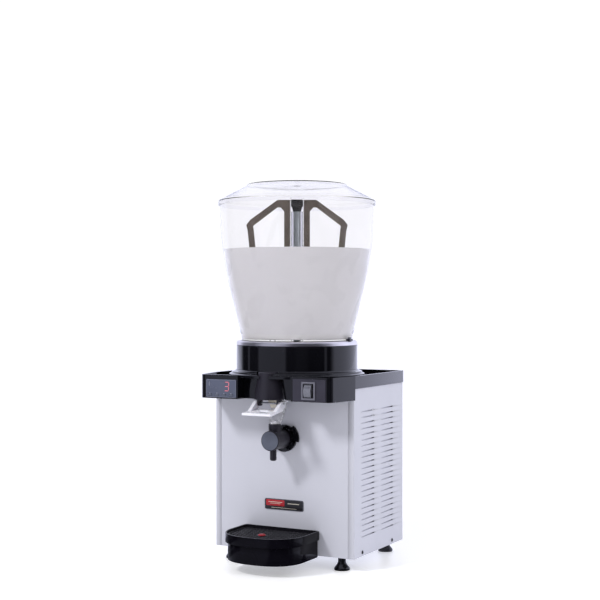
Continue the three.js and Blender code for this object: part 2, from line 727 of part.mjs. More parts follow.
function pumpBody() {
  const { radius, face, rear, collarY, nozzleY } = PUMP;
  const barrel = barY(radius, [face + 8, rear], 0, 0, 32);
  const collar = post(12.5, [0, 34], 0, collarY, 24);
  const nozzle = turned([[0, -41.5], [5, -41.5], [6.9, -39.5], [6.9, 0], [0, 0]], 16).translate([0, nozzleY, 0]);
  const chamber = barY(16.5, [face, 0], 0, 0, 24);
  const inlet = post(9.5, [0, 40], 0, collarY, 16);
  const outlet = post(3.6, [-60, 0], 0, nozzleY, 10);
  return cut(join(barrel, collar, nozzle), chamber, inlet, outlet);
}

function pumpCap() {
  const { radius, face } = PUMP;
  return join(
    barY(radius + 0.6, [face, face + 8 - GAP], 0, 0, 32),
    barY(16, [face + 7, face + 11], 0, 0, 20),
  );
}

function pumpImpeller() {
  const hub = barY(7, [-52, -18], 0, 0, 20);
  const vanes = [0, 1, 2].map((index) => {
    const vane = new THREE.BoxGeometry(2.4, 26, 29);
    vane.rotateY((index * Math.PI) / 3);
    vane.translate(0, -37, 0);
    return solid(vane);
  });
  return cut(join(hub, ...vanes), barY(4 + GAP, [-28, 0], 0, 0, 16));
}

// ---------------------------------------------------------------- drip tray (origin on the front panel)

/** D-shaped plan: straight sides from the panel, then a full bow that is flattest at its front. */
function trayPlan(inset, back) {
  const half = TRAY.halfWidth - inset;
  const reach = TRAY.front - TRAY.straight - inset;
  const steps = 28;
  const shape = new THREE.Shape();
  shape.moveTo(half, -back);
  shape.lineTo(-half, -back);
  for (let step = 0; step <= steps; step += 1) {
    const angle = (step * Math.PI) / steps;
    const across = Math.abs(Math.cos(angle)) ** (2 / TRAY.bow);
    const ahead = Math.sin(angle) ** (2 / TRAY.bow);
    shape.lineTo(-Math.sign(Math.cos(angle)) * half * across, -TRAY.straight - reach * ahead);
  }
  shape.closePath();
  return shape;
}

function trayHolder() {
  const tub = prism(trayPlan(5, GAP), [TRAY.bottom, TRAY.split]);
  const hollow = prism(trayPlan(7.5, GAP + 3), [TRAY.bottom + 2.5, FAR]);
  const backPlate = block([-72, 72], [-2.6, -GAP], [TRAY.split - 1, TRAY.top - 3]);
  return join(cut(tub, hollow), backPlate);
}

function dripTray() {
  const lip = prism(trayPlan(0, 3.2), [TRAY.split + GAP, TRAY.top]);
  const pan = prism(trayPlan(8, 4), [TRAY.bottom + 3.5, TRAY.split + 1]);
  const seat = prism(trayPlan(3.4, 6.4), [TRAY.seat, FAR]);
  const hollow = prism(trayPlan(10.5, 7), [TRAY.bottom + 5.5, FAR]);
  return cut(join(lip, pan), seat, hollow);
}

const FLOAT = { x: -5.5, y: -79, radius: 8.3 };

/** Grid with diamond holes, a row of slots along its back and a hole for the float. */
function dripGrid() {
  const plate = prism(trayPlan(3.8, 6.8), [TRAY.seat + GAP, TRAY.seat + 4]);
  const diamonds = [];
  for (let row = 0; row < 5; row += 1) {
    for (let column = -3; column <= 3; column += 1) {
      const x = column * 19 + (row % 2) * 9.5;
      const y = -34 - row * 18;
      const nearEdge = Math.hypot(x / 72, Math.min(y + TRAY.straight, 0) / 71) > 0.88;
      const nearFloat = Math.hypot(x - FLOAT.x, y - FLOAT.y) < FLOAT.radius + 7;
      if (!nearEdge && !nearFloat) {
        diamonds.push(post(6, [60, 80], x, y, 4));
      }
    }
  }
  const slots = Array.from({ length: 7 }, (_, index) => block(
    [-66 + index * 22 - 7, -66 + index * 22 + 7],
    [-19, -13],
    [60, 80],
  ));
  return cut(plate, post(FLOAT.radius + 0.5, [60, 80], FLOAT.x, FLOAT.y, 24), ...diamonds, ...slots);
}

/** Tray-full float: a weighted disc with a domed red button on top. */
const trayFloat = () => turned([
  [0, 34.1], [13, 34.1], [13, 39.8], [3, 39.8], [3, 66.8], [FLOAT.radius, 66.8], [FLOAT.radius, 75],
  [6.8, 76.8], [3.6, 77.4], [0, 77.6],
], 24);

const badgePlate = () => slab(plaque(2.75, 126, 92, 22.5, 4), [-1.5, -GAP]);

// ---------------------------------------------------------------- assembly

/** Pan-head screw whose dome stands proud of a side panel. */
function panScrew(side) {
  const head = new THREE.LatheGeometry([[0, 1.9], [2.2, 1.5], [3.6, 0.6], [4, GAP], [0, GAP]].map(
    ([radius, height]) => new THREE.Vector2(radius, height),
  ), 16);
  head.rotateZ(-side * Math.PI / 2);
  return solid(head);
}

const SCREW = { z: 34.5, y: [39.4, 190.4] };
const sideName = (side) => (side < 0 ? 'left' : 'right');

const feet = footPlaces.map(({ name, x, y }) => group(x, y, 0, piece(name, foot(), satinBlack())));

const screws = [-1, 1].flatMap((side) => SCREW.y.map((y, index) => group(
  side * halfCabinet, y, SCREW.z,
  piece(`side_screw_${sideName(side)}_${index === 0 ? 'front' : 'rear'}`, panScrew(side), darkGrey()),
)));

const cabinet = group(
  0, 0, 0,
  piece('base_pan', basePan(), steel()),
  piece('side_panel_left', sidePanel(-1), whitePaint()),
  piece('side_panel_right', sidePanel(1), whitePaint()),
  piece('front_panel', frontPanel(), whitePaint()),
  piece('rear_panel', rearPanel(), whitePaint()),
  piece('mains_inlet', mainsInlet(), satinBlack()),
  piece('badge_plate', badgePlate(), glossBlack()),
  ...feet,
  ...screws,
);

const works = group(
  0, 0, 0,
  group(-72, 150, 0, piece('compressor', compressor(), satinBlack())),
  piece('condenser', condenser(), steel()),
  piece('fan_motor', fanMotor(), darkGrey()),
  piece('fan_blade', fanBlade(), steel()),
  piece('gear_motor', gearMotor(), darkGrey()),
  piece('pump_motor', pumpMotor(), darkGrey()),
);

const keys = Array.from({ length: KEY_COUNT }, (_, index) => group(
  keyX(index), CONSOLE.front, KEY.z,
  piece(`thermostat_key_${index + 1}`, thermostatKey(), slateGrey()),
));

const ROCKER_AXIS_Y = CONSOLE.front + 2;
const controls = group(
  0, 0, 0,
  piece('console_top', consoleTop(), glossBlack()),
  piece('thermostat_body', thermostatBody(), satinBlack()),
  piece('display_window', displayWindow(), finish(0x3a3f4e, 0.15)),
  piece('switch_plate', switchPlate(), darkGrey()),
  piece('switch_bezel', switchBezel(), finish(0x8d8f96, 0.35)),
  group(SWITCH.x, ROCKER_AXIS_Y, SWITCH.z, piece('switch_rocker', switchRocker(), finish(0x70727a, 0.4))),
  ...keys,
);

const latch = group(
  LATCH.radius, 0, 0,
  piece('latch_base', latchBase(), satinBlack()),
  piece('latch_tab', latchTab(), milkyPlastic()),
);

const bowlAssembly = group(
  0, BOWL_Y, 0,
  piece('collar_drum', collarDrum(), glossBlack()),
  piece('cooling_plate', coolingPlate(), steel()),
  piece('evaporator_coil', evaporatorCoil(), copper()),
  piece('shaft_bush', shaftBush(), milkyPlastic()),
  piece('bowl', bowl(), clearPlastic()),
  piece('lid', lid(), clearPlastic()),
  piece('agitator_frame', agitatorFrame(), brownPlastic()),
  piece('agitator_sleeve', agitatorSleeve(), clearPlastic()),
  piece('agitator_hub', agitatorHub(), glossBlack()),
  piece('drive_shaft', driveShaft(), steel()),
  latch,
);

const tap = group(
  0, 0, 0,
  group(0, TAP_Y, 0, piece('tap_cover', tapCover(), satinBlack())),
  group(
    0, SPOUT_Y, 0,
    piece('outlet_seal', outletSeal(), rubber()),
    piece('outlet_spout', outletSpout(), ivoryRubber()),
    piece('tap_plunger', tapPlunger(), milkyPlastic()),
    piece('tap_spring', tapSpring(), steel()),
  ),
  piece('tap_lever', tapLever(), milkyPlastic()),
  piece('lever_pin', leverPin(), steel()),
  piece('feed_tube', feedTube(), clearPlastic()),
);

const pump = group(
  PUMP.x, 0, PUMP.z,
  piece('bayonet_flange', bayonetFlange(), glossBlack()),
  piece('pump_body', pumpBody(), satinBlack()),
  piece('pump_cap', pumpCap(), slateGrey()),
  piece('pump_impeller', pumpImpeller(), milkyPlastic()),
);

const drip = group(
  TRAY.x, 0, 0,
  piece('tray_holder', trayHolder(), satinBlack()),
  piece('drip_tray', dripTray(), satinBlack()),
  piece('drip_grid', dripGrid(), satinBlack()),
  group(FLOAT.x, FLOAT.y, 0, piece('tray_float', trayFloat(), redPlastic())),
);

const dispenser = group(0, PANEL_Y, 0, cabinet, works, controls, bowlAssembly, tap, pump, drip);

export default dispenser;
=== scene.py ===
"""Looks of the chilled drink dispenser: finishes, eased and turned pieces, studio.

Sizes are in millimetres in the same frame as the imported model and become
metres when a shape is put into a mesh.
"""

import json
import logging
import math
from dataclasses import dataclass
from enum import Enum
from typing import Sequence

import bmesh
import bpy
import numpy as np
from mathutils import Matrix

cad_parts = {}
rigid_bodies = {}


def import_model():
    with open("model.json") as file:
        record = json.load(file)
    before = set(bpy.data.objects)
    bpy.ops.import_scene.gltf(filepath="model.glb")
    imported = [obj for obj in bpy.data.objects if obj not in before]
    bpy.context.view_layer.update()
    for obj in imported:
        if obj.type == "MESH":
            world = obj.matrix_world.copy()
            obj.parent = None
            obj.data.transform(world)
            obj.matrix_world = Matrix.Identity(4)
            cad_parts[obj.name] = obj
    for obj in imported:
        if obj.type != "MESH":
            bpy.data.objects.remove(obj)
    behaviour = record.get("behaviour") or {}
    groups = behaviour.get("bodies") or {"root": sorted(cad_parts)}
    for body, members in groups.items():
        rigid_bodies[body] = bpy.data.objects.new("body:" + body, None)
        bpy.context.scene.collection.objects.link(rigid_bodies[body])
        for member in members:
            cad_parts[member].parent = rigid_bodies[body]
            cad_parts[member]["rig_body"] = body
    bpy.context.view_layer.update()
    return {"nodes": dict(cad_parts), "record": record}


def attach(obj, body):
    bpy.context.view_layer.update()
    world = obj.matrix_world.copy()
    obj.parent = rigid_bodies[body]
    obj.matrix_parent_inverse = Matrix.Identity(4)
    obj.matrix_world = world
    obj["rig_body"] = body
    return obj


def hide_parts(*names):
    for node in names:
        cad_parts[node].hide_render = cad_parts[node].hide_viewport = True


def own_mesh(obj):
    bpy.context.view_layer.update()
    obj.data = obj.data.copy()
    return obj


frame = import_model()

MM = 0.001
PANEL_Y = -56.0
BOWL_AXIS = (0.0, 6.0, 0.0)
OUTLET_Y = -98.0
PUMP_X = 5.0
COLLAR_Y = PANEL_Y - 45.0
SHARP = 38.0
SHARP_CAD = 34.0
WHITE = (1.0, 1.0, 1.0, 1.0)
COOL = (0.78, 0.80, 1.0, 1.0)
LOG = logging.getLogger("dispenser")


class Axis(Enum):
    """Direction that a plan is carried in: which of (a, b, height) is x, y and z."""

    X = (2, 0, 1)
    Y = (0, 2, 1)
    Z = (0, 1, 2)


class Texture(Enum):
    """Which way the fine surface of a finish runs."""

    GRAINED = "grained"
    BRUSHED = "brushed"
    TURNED = "turned"


# ---------------------------------------------------------------- shader groups


class Graph:
    """A node tree with short ways to add, feed and join nodes."""

    def __init__(self, tree: bpy.types.NodeTree) -> None:
        """Keeps the tree. Args: tree, a node tree."""
        self.tree = tree

    def add(self, kind: str, **values: object) -> bpy.types.Node:
        """Adds a node.

        Args:
            kind: node type, such as ShaderNodeMath.
            values: attributes, or sockets by name with underscores as spaces.
        Returns:
            The node.
        """
        node = self.tree.nodes.new(kind)
        for name, value in values.items():
            if hasattr(node, name):
                setattr(node, name, value)
            else:
                self.feed(node.inputs[name.replace("_", " ")], value)
        return node

    def feed(self, socket: bpy.types.NodeSocket, value: object) -> None:
        """Links or sets an input. Args: socket, the input. value, an output or a plain value."""
        if isinstance(value, bpy.types.NodeSocket):
            self.tree.links.new(value, socket)
        else:
            socket.default_value = value

    def math(self, operation: str, a: object, b: object = 0.0, clamp: bool = False) -> bpy.types.NodeSocket:
        """Adds a Math node.

        Args:
            operation: its operation.
            a: first value, a number or a socket.
            b: second value, a number or a socket.
            clamp: whether the result stays between 0 and 1.
        Returns:
            Its output.
        """
        node = self.add("ShaderNodeMath", operation=operation, use_clamp=clamp)
        for socket, value in zip(node.inputs, (a, b)):
            self.feed(socket, value)
        return node.outputs[0]

    def times(self, a: object, b: object, clamp: bool = False) -> bpy.types.NodeSocket:
        """Product of two values. Args: a, b, numbers or sockets. clamp. Returns: the product."""
        return self.math("MULTIPLY", a, b, clamp)

    def ramp(self, value: bpy.types.NodeSocket, low: float, high: float, to_low: float = 0.0,
             to_high: float = 1.0, smooth: bool = False) -> bpy.types.NodeSocket:
        """Maps a value between two limits to two others.

        Args:
            value: socket with the value.
            low: value that gives to_low.
            high: value that gives to_high.
            to_low: result at low.
            to_high: result at high.
            smooth: whether the step is eased at both ends.
        Returns:
            The mapped value.
        """
        node = self.add("ShaderNodeMapRange", interpolation_type="SMOOTHSTEP" if smooth else "LINEAR",
                        Value=value, From_Min=low, From_Max=high, To_Min=to_low, To_Max=to_high)
        return node.outputs["Result"]

    def mix(self, factor: object, a: object, b: object, colour: bool = True) -> bpy.types.NodeSocket:
        """Value between two others: (1 - factor) a + factor b.

        Args:
            factor: share of b.
            a: value at 0.
            b: value at 1.
            colour: whether the values are colours, not numbers.
        Returns:
            The mixed value.
        """
        node = self.add("ShaderNodeMix", data_type="RGBA" if colour else "FLOAT")
        first, output = (6, 2) if colour else (2, 0)
        for index, value in ((0, factor), (first, a), (first + 1, b)):
            self.feed(node.inputs[index], value)
        return node.outputs[output]

    def split(self, vector: bpy.types.NodeSocket) -> Sequence[bpy.types.NodeSocket]:
        """Parts of a vector. Args: vector. Returns: its x, y and z."""
        return self.add("ShaderNodeSeparateXYZ", Vector=vector).outputs


def new_group(name: str, inputs: dict[str, float],
              outputs: Sequence[str]) -> tuple[Graph, bpy.types.Node, bpy.types.Node]:
    """Makes an empty shader group of numbers.

    Args:
        name: group name.
        inputs: input names with their usual values.
        outputs: output names.
    Returns:
        The group's graph, its input node and its output node.
    """
    group = bpy.data.node_groups.new(name, "ShaderNodeTree")
    for label, value in inputs.items():
        socket = group.interface.new_socket(label, in_out="INPUT", socket_type="NodeSocketFloat")
        socket.default_value = value
    for label in outputs:
        group.interface.new_socket(label, in_out="OUTPUT", socket_type="NodeSocketFloat")
    graph = Graph(group)
    return graph, graph.add("NodeGroupInput"), graph.add("NodeGroupOutput")


class Effects:
    """Surface effects that several finishes share, each built once."""

    def __init__(self) -> None:
        """Builds the groups."""
        self.mottle = self._mottle()
        self.dust = self._dust()
        self.fine = {Texture.GRAINED: self._grain(),
                     Texture.BRUSHED: self._lines("brushing lines", False),
                     Texture.TURNED: self._lines("turning lines", True)}

    def _noise(self, graph: Graph, scale: object, detail: float,
               vector: bpy.types.NodeSocket | None = None) -> bpy.types.NodeSocket:
        """Adds noise.

        Args:
            graph: where it goes.
            scale: its scale, a number or a socket.
            detail: its levels of detail.
            vector: where it is read, or None for the object's own coordinates.
        Returns:
            The noise value.
        """
        place = vector or graph.add("ShaderNodeTexCoord").outputs["Object"]
        return graph.add("ShaderNodeTexNoise", Vector=place, Scale=scale, Detail=detail).outputs["Fac"]

    def _mottle(self) -> bpy.types.NodeTree:
        """Slow cloudy change over a surface. Returns: the group."""
        graph, given, result = new_group("mottle", {"Scale": 12.0}, ["Mask"])
        cloud = self._noise(graph, given.outputs["Scale"], 3.0)
        graph.feed(result.inputs["Mask"], graph.ramp(cloud, 0.34, 0.66, smooth=True))
        return graph.tree

    def _grain(self) -> bpy.types.NodeTree:
        """Fine moulded or sprayed grain: two sizes of noise added. Returns: the group."""
        graph, given, result = new_group("grain", {"Scale": 900.0}, ["Height"])
        fine = self._noise(graph, given.outputs["Scale"], 2.0)
        coarse = self._noise(graph, graph.times(given.outputs["Scale"], 0.22), 1.0)
        both = graph.math("ADD", graph.times(fine, 0.6), graph.times(coarse, 0.4))
        graph.feed(result.inputs["Height"], both)
        return graph.tree

    def _dust(self) -> bpy.types.NodeTree:
        """Thin dust where a surface faces up: upward slope times broken noise. Returns: the group."""
        graph, given, result = new_group("dust", {"Amount": 0.2}, ["Mask"])
        normal = graph.add("ShaderNodeNewGeometry").outputs["Normal"]
        up = graph.ramp(graph.split(normal)["Z"], 0.55, 1.0)
        speck = graph.ramp(self._noise(graph, 260.0, 5.0), 0.42, 0.68)
        graph.feed(result.inputs["Mask"], graph.times(graph.times(up, speck), given.outputs["Amount"], True))
        return graph.tree

    def _lines(self, name: str, turned: bool) -> bpy.types.NodeTree:
        """Fine lines left by a brush or a lathe.

        Lathe lines read noise at (distance from the bowl axis, 0, height), so they
        run round it; brushed lines read noise squeezed along x and y.
        Args:
            name: group name.
            turned: whether the lines run round the bowl axis.
        Returns:
            The group.
        """
        graph, given, result = new_group(name, {"Scale": 1400.0}, ["Height"])
        x, y, z = graph.split(graph.add("ShaderNodeTexCoord").outputs["Object"])
        if turned:
            off = graph.math("SUBTRACT", y, BOWL_AXIS[1] * MM)
            square = graph.math("ADD", graph.times(x, x), graph.times(off, off))
            merged = graph.add("ShaderNodeCombineXYZ", X=graph.math("SQRT", square), Z=z)
        else:
            merged = graph.add("ShaderNodeCombineXYZ", X=graph.times(x, 0.02), Y=graph.times(y, 0.02), Z=z)
        height = self._noise(graph, given.outputs["Scale"], 3.0, merged.outputs[0])
        graph.feed(result.inputs["Height"], height)
        return graph.tree


# ---------------------------------------------------------------- finishes


DUST_GREY = (0.42, 0.42, 0.45, 1.0)
SMUDGE = 3.7
COAT_ROUGHNESS = 0.05
SOFT_RADIUS = (0.008, 0.007, 0.007)


@dataclass(frozen=True)
class Finish:
    """A material of the machine, with what its surface shows close up."""

    name: str
    slot: str
    colour: tuple[float, float, float]
    roughness: float
    texture: Texture = Texture.GRAINED
    metallic: float = 0.0
    coat: float = 0.0
    specular: float = 0.5
    spread: float = 0.06
    mottle: float = 0.08
    mottle_scale: float = 14.0
    grain_scale: float = 900.0
    grain_depth: float = 0.00002
    dust: float = 0.0
    transmission: float = 0.0
    ior: float = 1.46
    glow: float = 0.0
    soft: float = 0.0

    def material(self, effects: Effects) -> bpy.types.Material:
        """Builds the material.

        Colour swings between a darker and a lighter tone with the mottle and fades
        to grey under the dust; roughness swings with a second, finer mottle; the
        height of the grain or of the tool lines bumps the normal.
        Args:
            effects: the shared groups.
        Returns:
            The material.
        """
        material = bpy.data.materials.new(self.name)
        material.use_nodes = True
        graph = Graph(material.node_tree)
        shader = graph.tree.nodes["Principled BSDF"]
        for label, value in (("Metallic", self.metallic), ("Specular IOR Level", self.specular),
                             ("Coat Weight", self.coat), ("Coat Roughness", COAT_ROUGHNESS),
                             ("IOR", self.ior), ("Transmission Weight", self.transmission),
                             ("Subsurface Weight", self.soft)):
            shader.inputs[label].default_value = value
        if self.soft:
            shader.inputs["Subsurface Radius"].default_value = SOFT_RADIUS
            shader.inputs["Subsurface Scale"].default_value = 1.0

        cloud = graph.add("ShaderNodeGroup", node_tree=effects.mottle, Scale=self.mottle_scale)
        dark, light = ((*(min(c * factor, 1.0) for c in self.colour), 1.0)
                       for factor in (1 - self.mottle, 1 + self.mottle))
        colour = graph.mix(cloud.outputs["Mask"], dark, light)
        if self.dust:
            dust = graph.add("ShaderNodeGroup", node_tree=effects.dust, Amount=self.dust)
            colour = graph.mix(dust.outputs["Mask"], colour, DUST_GREY)
        graph.feed(shader.inputs["Base Color"], colour)

        smudge = graph.add("ShaderNodeGroup", node_tree=effects.mottle, Scale=self.mottle_scale * SMUDGE)
        low, high = max(self.roughness - self.spread, 0.0), min(self.roughness + self.spread, 1.0)
        graph.feed(shader.inputs["Roughness"], graph.ramp(smudge.outputs["Mask"], 0.0, 1.0, low, high))

        fine = graph.add("ShaderNodeGroup", node_tree=effects.fine[self.texture], Scale=self.grain_scale)
        bump = graph.add("ShaderNodeBump", Strength=1.0, Distance=self.grain_depth,
                         Height=fine.outputs["Height"])
        graph.feed(shader.inputs["Normal"], bump.outputs["Normal"])
        if self.glow:
            shader.inputs["Emission Color"].default_value = (*self.colour, 1.0)
            shader.inputs["Emission Strength"].default_value = self.glow
        return material


WHITE_PAINT = Finish("white sheet paint", "white_paint", (0.545, 0.55, 0.625), 0.34,
                     coat=0.1, mottle=0.008, spread=0.04, grain_scale=1300, grain_depth=0.000005)
GLOSS_BLACK = Finish("gloss black moulding", "gloss_black", (0.003, 0.003, 0.0045), 0.07, spread=0.02,
                     mottle=0.15, grain_scale=220, grain_depth=0.000004, dust=0.03)
SATIN_BLACK = Finish("satin black moulding", "satin_black", (0.016, 0.0145, 0.022), 0.38, mottle=0.15,
                     grain_scale=1600, grain_depth=0.00003, dust=0.10)
TRAY_BLACK = Finish("tray black moulding", "satin_black", (0.0025, 0.0022, 0.004), 0.16, mottle=0.2,
                    specular=0.12, grain_scale=1200, grain_depth=0.00001)
COVER_BLACK = Finish("tap cover black", "satin_black", (0.016, 0.0145, 0.022), 0.36, mottle=0.12,
                     grain_scale=1500, grain_depth=0.00002, dust=0.06)
PLATE_GREY = Finish("switch plate grey", "dark_grey", (0.028, 0.026, 0.040), 0.42, mottle=0.1,
                    grain_scale=1800, grain_depth=0.00003)
SLATE = Finish("slate moulding", "slate_grey", (0.088, 0.098, 0.135), 0.5, mottle=0.1,
               grain_scale=1500, grain_depth=0.00005)
PANE = Finish("display pane", "display_grey", (0.066, 0.075, 0.115), 0.22, coat=0.4, mottle=0.12,
              grain_scale=500, grain_depth=0.000004)
BEZEL = Finish("bezel grey", "bezel_grey", (0.115, 0.115, 0.145), 0.3, mottle=0.08, coat=0.2,
               grain_scale=1500, grain_depth=0.00002)
ROCKER = Finish("rocker grey", "bezel_grey", (0.145, 0.148, 0.18), 0.32, mottle=0.1, coat=0.2,
                grain_scale=1500, grain_depth=0.00002)
STEEL_PLATE = Finish("turned steel", "satin_steel", (0.66, 0.64, 0.66), 0.36, Texture.TURNED, metallic=1.0,
                     mottle=0.06, grain_scale=2600, grain_depth=0.00003)
STEEL = Finish("drawn steel", "bare_steel", (0.55, 0.56, 0.57), 0.3, Texture.BRUSHED, metallic=1.0,
               mottle=0.08, grain_scale=2400, grain_depth=0.00003)
SHAFT_STEEL = Finish("ground shaft steel", "bare_steel", (0.34, 0.37, 0.37), 0.34, Texture.BRUSHED,
                     metallic=0.7, mottle=0.08, grain_scale=2400, grain_depth=0.00003)
COPPER = Finish("copper tube", "copper", (0.72, 0.36, 0.2), 0.32, Texture.BRUSHED, metallic=1.0, mottle=0.15,
                grain_scale=1800, grain_depth=0.00003)
WORKS_BLACK = Finish("works black enamel", "black_metal", (0.015, 0.015, 0.017), 0.35,
                     mottle=0.2, grain_scale=700, grain_depth=0.00008, dust=0.4)
WORKS_GREY = Finish("works grey enamel", "dark_grey", (0.06, 0.06, 0.07), 0.45, mottle=0.2,
                    grain_scale=700, grain_depth=0.00008, dust=0.4)
CLEAR = Finish("clear bowl plastic", "clear_plastic", (0.94, 0.937, 0.962), 0.015, spread=0.012,
               mottle=0.006, mottle_scale=6, grain_scale=18, grain_depth=0.00008, transmission=1.0, ior=1.22)
CLEAR_SLEEVE = Finish("clear sleeve plastic", "clear_plastic", (0.985, 0.985, 0.995), 0.01, spread=0.008,
                      mottle=0.006, grain_scale=20, grain_depth=0.00004, transmission=1.0, ior=1.1)
CLEAR_TUBE = Finish("clear tube plastic", "clear_plastic", (0.90, 0.90, 0.94), 0.25, spread=0.05,
                    mottle=0.03, grain_scale=60, grain_depth=0.0002, transmission=0.7, ior=1.4)
MILK = Finish("milk", "milky_plastic", (0.70, 0.685, 0.69), 0.3, mottle=0.015, mottle_scale=5, specular=0.3,
              grain_scale=40, grain_depth=0.00005)
MILKY = Finish("milky moulding", "milky_plastic", (0.74, 0.74, 0.82), 0.28, mottle=0.03, soft=0.25,
               grain_scale=900, grain_depth=0.00002)
IVORY = Finish("ivory rubber", "ivory_rubber", (0.62, 0.58, 0.50), 0.5, mottle=0.08, grain_scale=800,
               grain_depth=0.00004)
RUBBER = Finish("black rubber", "black_rubber", (0.012, 0.012, 0.012), 0.7, mottle=0.2, grain_scale=900,
                grain_depth=0.00006)
BROWN = Finish("brown stirrer plastic", "brown_plastic", (0.088, 0.069, 0.054), 0.42, mottle=0.14,
               mottle_scale=30, grain_scale=900, grain_depth=0.00005)
RED = Finish("red float plastic", "red_plastic", (0.26, 0.008, 0.014), 0.3, mottle=0.12, grain_scale=800,
             grain_depth=0.00002)
RED_GLOW = Finish("lit red segments", "red_plastic", (0.62, 0.15, 0.19), 0.4, mottle=0.1, glow=0.3)
MARK = Finish("pale printed mark", "display_grey", (0.17, 0.18, 0.235), 0.5, mottle=0.1)
BADGE_RED = Finish("badge red", "red_plastic", (0.40, 0.012, 0.018), 0.28, mottle=0.1, coat=0.3)
BADGE_BLACK = Finish("badge black", "gloss_black", (0.010, 0.009, 0.011), 0.3, mottle=0.2, coat=0.3)
PALE_LINE = Finish("badge pale line", "ivory_rubber", (0.62, 0.58, 0.5), 0.4, mottle=0.06)


class Wardrobe:
    """Makes each finish's material once."""

    def __init__(self) -> None:
        """Builds the shared effects."""
        self.effects = Effects()
        self.made: dict[str, bpy.types.Material] = {}

    def get(self, finish: Finish) -> bpy.types.Material:
        """The material of a finish. Args: finish. Returns: its material."""
        if finish.name not in self.made:
            self.made[finish.name] = finish.material(self.effects)
        return self.made[finish.name]


WARDROBE = Wardrobe()


# ---------------------------------------------------------------- shapes


def eased(corners: Sequence[Sequence[float]], steps: int = 5) -> np.ndarray:
    """Outline with softened corners.

    Each corner C with reach r becomes the parabola (1-t)^2 A + 2t(1-t) C + t^2 B,
    where A and B lie on its two edges, r away from it.
    Args:
        corners: rows of (a, b, reach), closing on themselves.
        steps: spans in each softened corner.
    Returns:
        Points of the outline, without repeats.
    """
    rows = np.asarray(corners, float)
    point, reach = rows[:, :2], rows[:, 2:]
    back, on = np.roll(point, 1, 0) - point, np.roll(point, -1, 0) - point
    back_length = np.maximum(np.linalg.norm(back, axis=1, keepdims=True), 1e-9)
    on_length = np.maximum(np.linalg.norm(on, axis=1, keepdims=True), 1e-9)
    a = (point + back / back_length * np.minimum(reach, 0.49 * back_length))[:, None]
    b = (point + on / on_length * np.minimum(reach, 0.49 * on_length))[:, None]
    t = np.linspace(0, 1, steps + 1)[None, :, None]
    arc = (1 - t) ** 2 * a + 2 * t * (1 - t) * point[:, None] + t**2 * b
    return without_repeats(arc.reshape(-1, 2))


def without_repeats(plan: np.ndarray) -> np.ndarray:
    """Drops points that lie on the one before. Args: plan, points. Returns: the points kept."""
    return plan[np.linalg.norm(plan - np.roll(plan, 1, 0), axis=1) > 1e-4]


def outward(plan: np.ndarray) -> np.ndarray:
    """Mitred outward directions of a closed plan.

    The direction at a point is the sum of its two edge normals over one plus their
    dot product, so that a step along it moves both edges by the same amount.
    Args:
        plan: points of a closed plan.
    Returns:
        One direction for each point.
    """
    edge = np.roll(plan, -1, 0) - plan
    normal = np.stack([edge[:, 1], -edge[:, 0]], 1) / np.linalg.norm(edge, axis=1, keepdims=True)
    area = np.sum(plan[:, 0] * np.roll(plan[:, 1], -1) - np.roll(plan[:, 0], -1) * plan[:, 1])
    normal = normal * np.sign(area)
    before = np.roll(normal, 1, 0)
    return (normal + before) / np.maximum(1 + np.sum(normal * before, 1, keepdims=True), 0.3)


@dataclass
class Shape:
    """Points in millimetres and the faces between them."""

    points: np.ndarray
    faces: list[list[int]]

    @classmethod
    def grid(cls, sections: np.ndarray, ring: bool = True, loop: bool = False, caps: bool = False,
             keep: np.ndarray | None = None, flip: bool = False) -> "Shape":
        """Quads over a grid of points, where sections[i, j] is point j of section i.

        Args:
            sections: array of points, shape (sections, points, 3).
            ring: whether each section closes on itself.
            loop: whether the last section joins the first.
            caps: whether the first and last sections are filled.
            keep: which quads stay, or None for all.
            flip: whether the faces are turned over.
        Returns:
            The shape.
        """
        count, size, _ = sections.shape
        i = np.arange(count if loop else count - 1)[:, None]
        j = np.arange(size if ring else size - 1)[None, :]
        here, above, side = i * size, (i + 1) % count * size, (j + 1) % size
        quads = np.stack(np.broadcast_arrays(here + j, here + side, above + side, above + j), -1)
        quads = quads[keep] if keep is not None else quads.reshape(-1, 4)
        faces = (quads[:, ::-1] if flip else quads).tolist()
        if caps:
            faces += [list(range(size)), list(range((count - 1) * size, count * size))]
        return cls(sections.reshape(-1, 3), faces)

    def __add__(self, other: "Shape") -> "Shape":
        """Puts two shapes in one. Args: other, the second shape. Returns: both."""
        offset = len(self.points)
        return Shape(np.vstack([self.points, other.points]),
                     self.faces + [[index + offset for index in face] for face in other.faces])


def placed(a: np.ndarray, b: np.ndarray, height: np.ndarray, axis: Axis) -> np.ndarray:
    """Turns plan coordinates into x, y, z. Args: a, b, height, axis. Returns: points."""
    local = np.stack(np.broadcast_arrays(a, b, height), -1)
    return local[..., list(axis.value)]


def turned(profile: np.ndarray, centre: Sequence[float] = (0.0, 0.0, 0.0), axis: Axis = Axis.Z,
           segments: int = 128) -> Shape:
    """Profile carried round an axis: (r cos t, r sin t, height).

    Args:
        profile: rows of (radius, height); closes on itself unless it starts on the axis.
        centre: where the axis passes.
        axis: its direction.
        segments: steps round it.
    Returns:
        The shape.
    """
    angle = np.linspace(0, 2 * np.pi, segments, endpoint=False)[None, :]
    radius, height = profile[:, :1], profile[:, 1:2]
    points = placed(radius * np.cos(angle), radius * np.sin(angle), height, axis)
    return Shape.grid(points + np.asarray(centre, float), loop=bool(profile[0, 0] > 1e-6))


def rod(radius: float, low: float, high: float, y: float, segments: int) -> Shape:
    """Upright cylinder on the middle plane. Args: radius, low, high, y, segments. Returns: the shape."""
    profile = np.array([(0, low), (radius, low), (radius, high), (0, high)], float)
    return turned(profile, (0, y, 0), segments=segments)


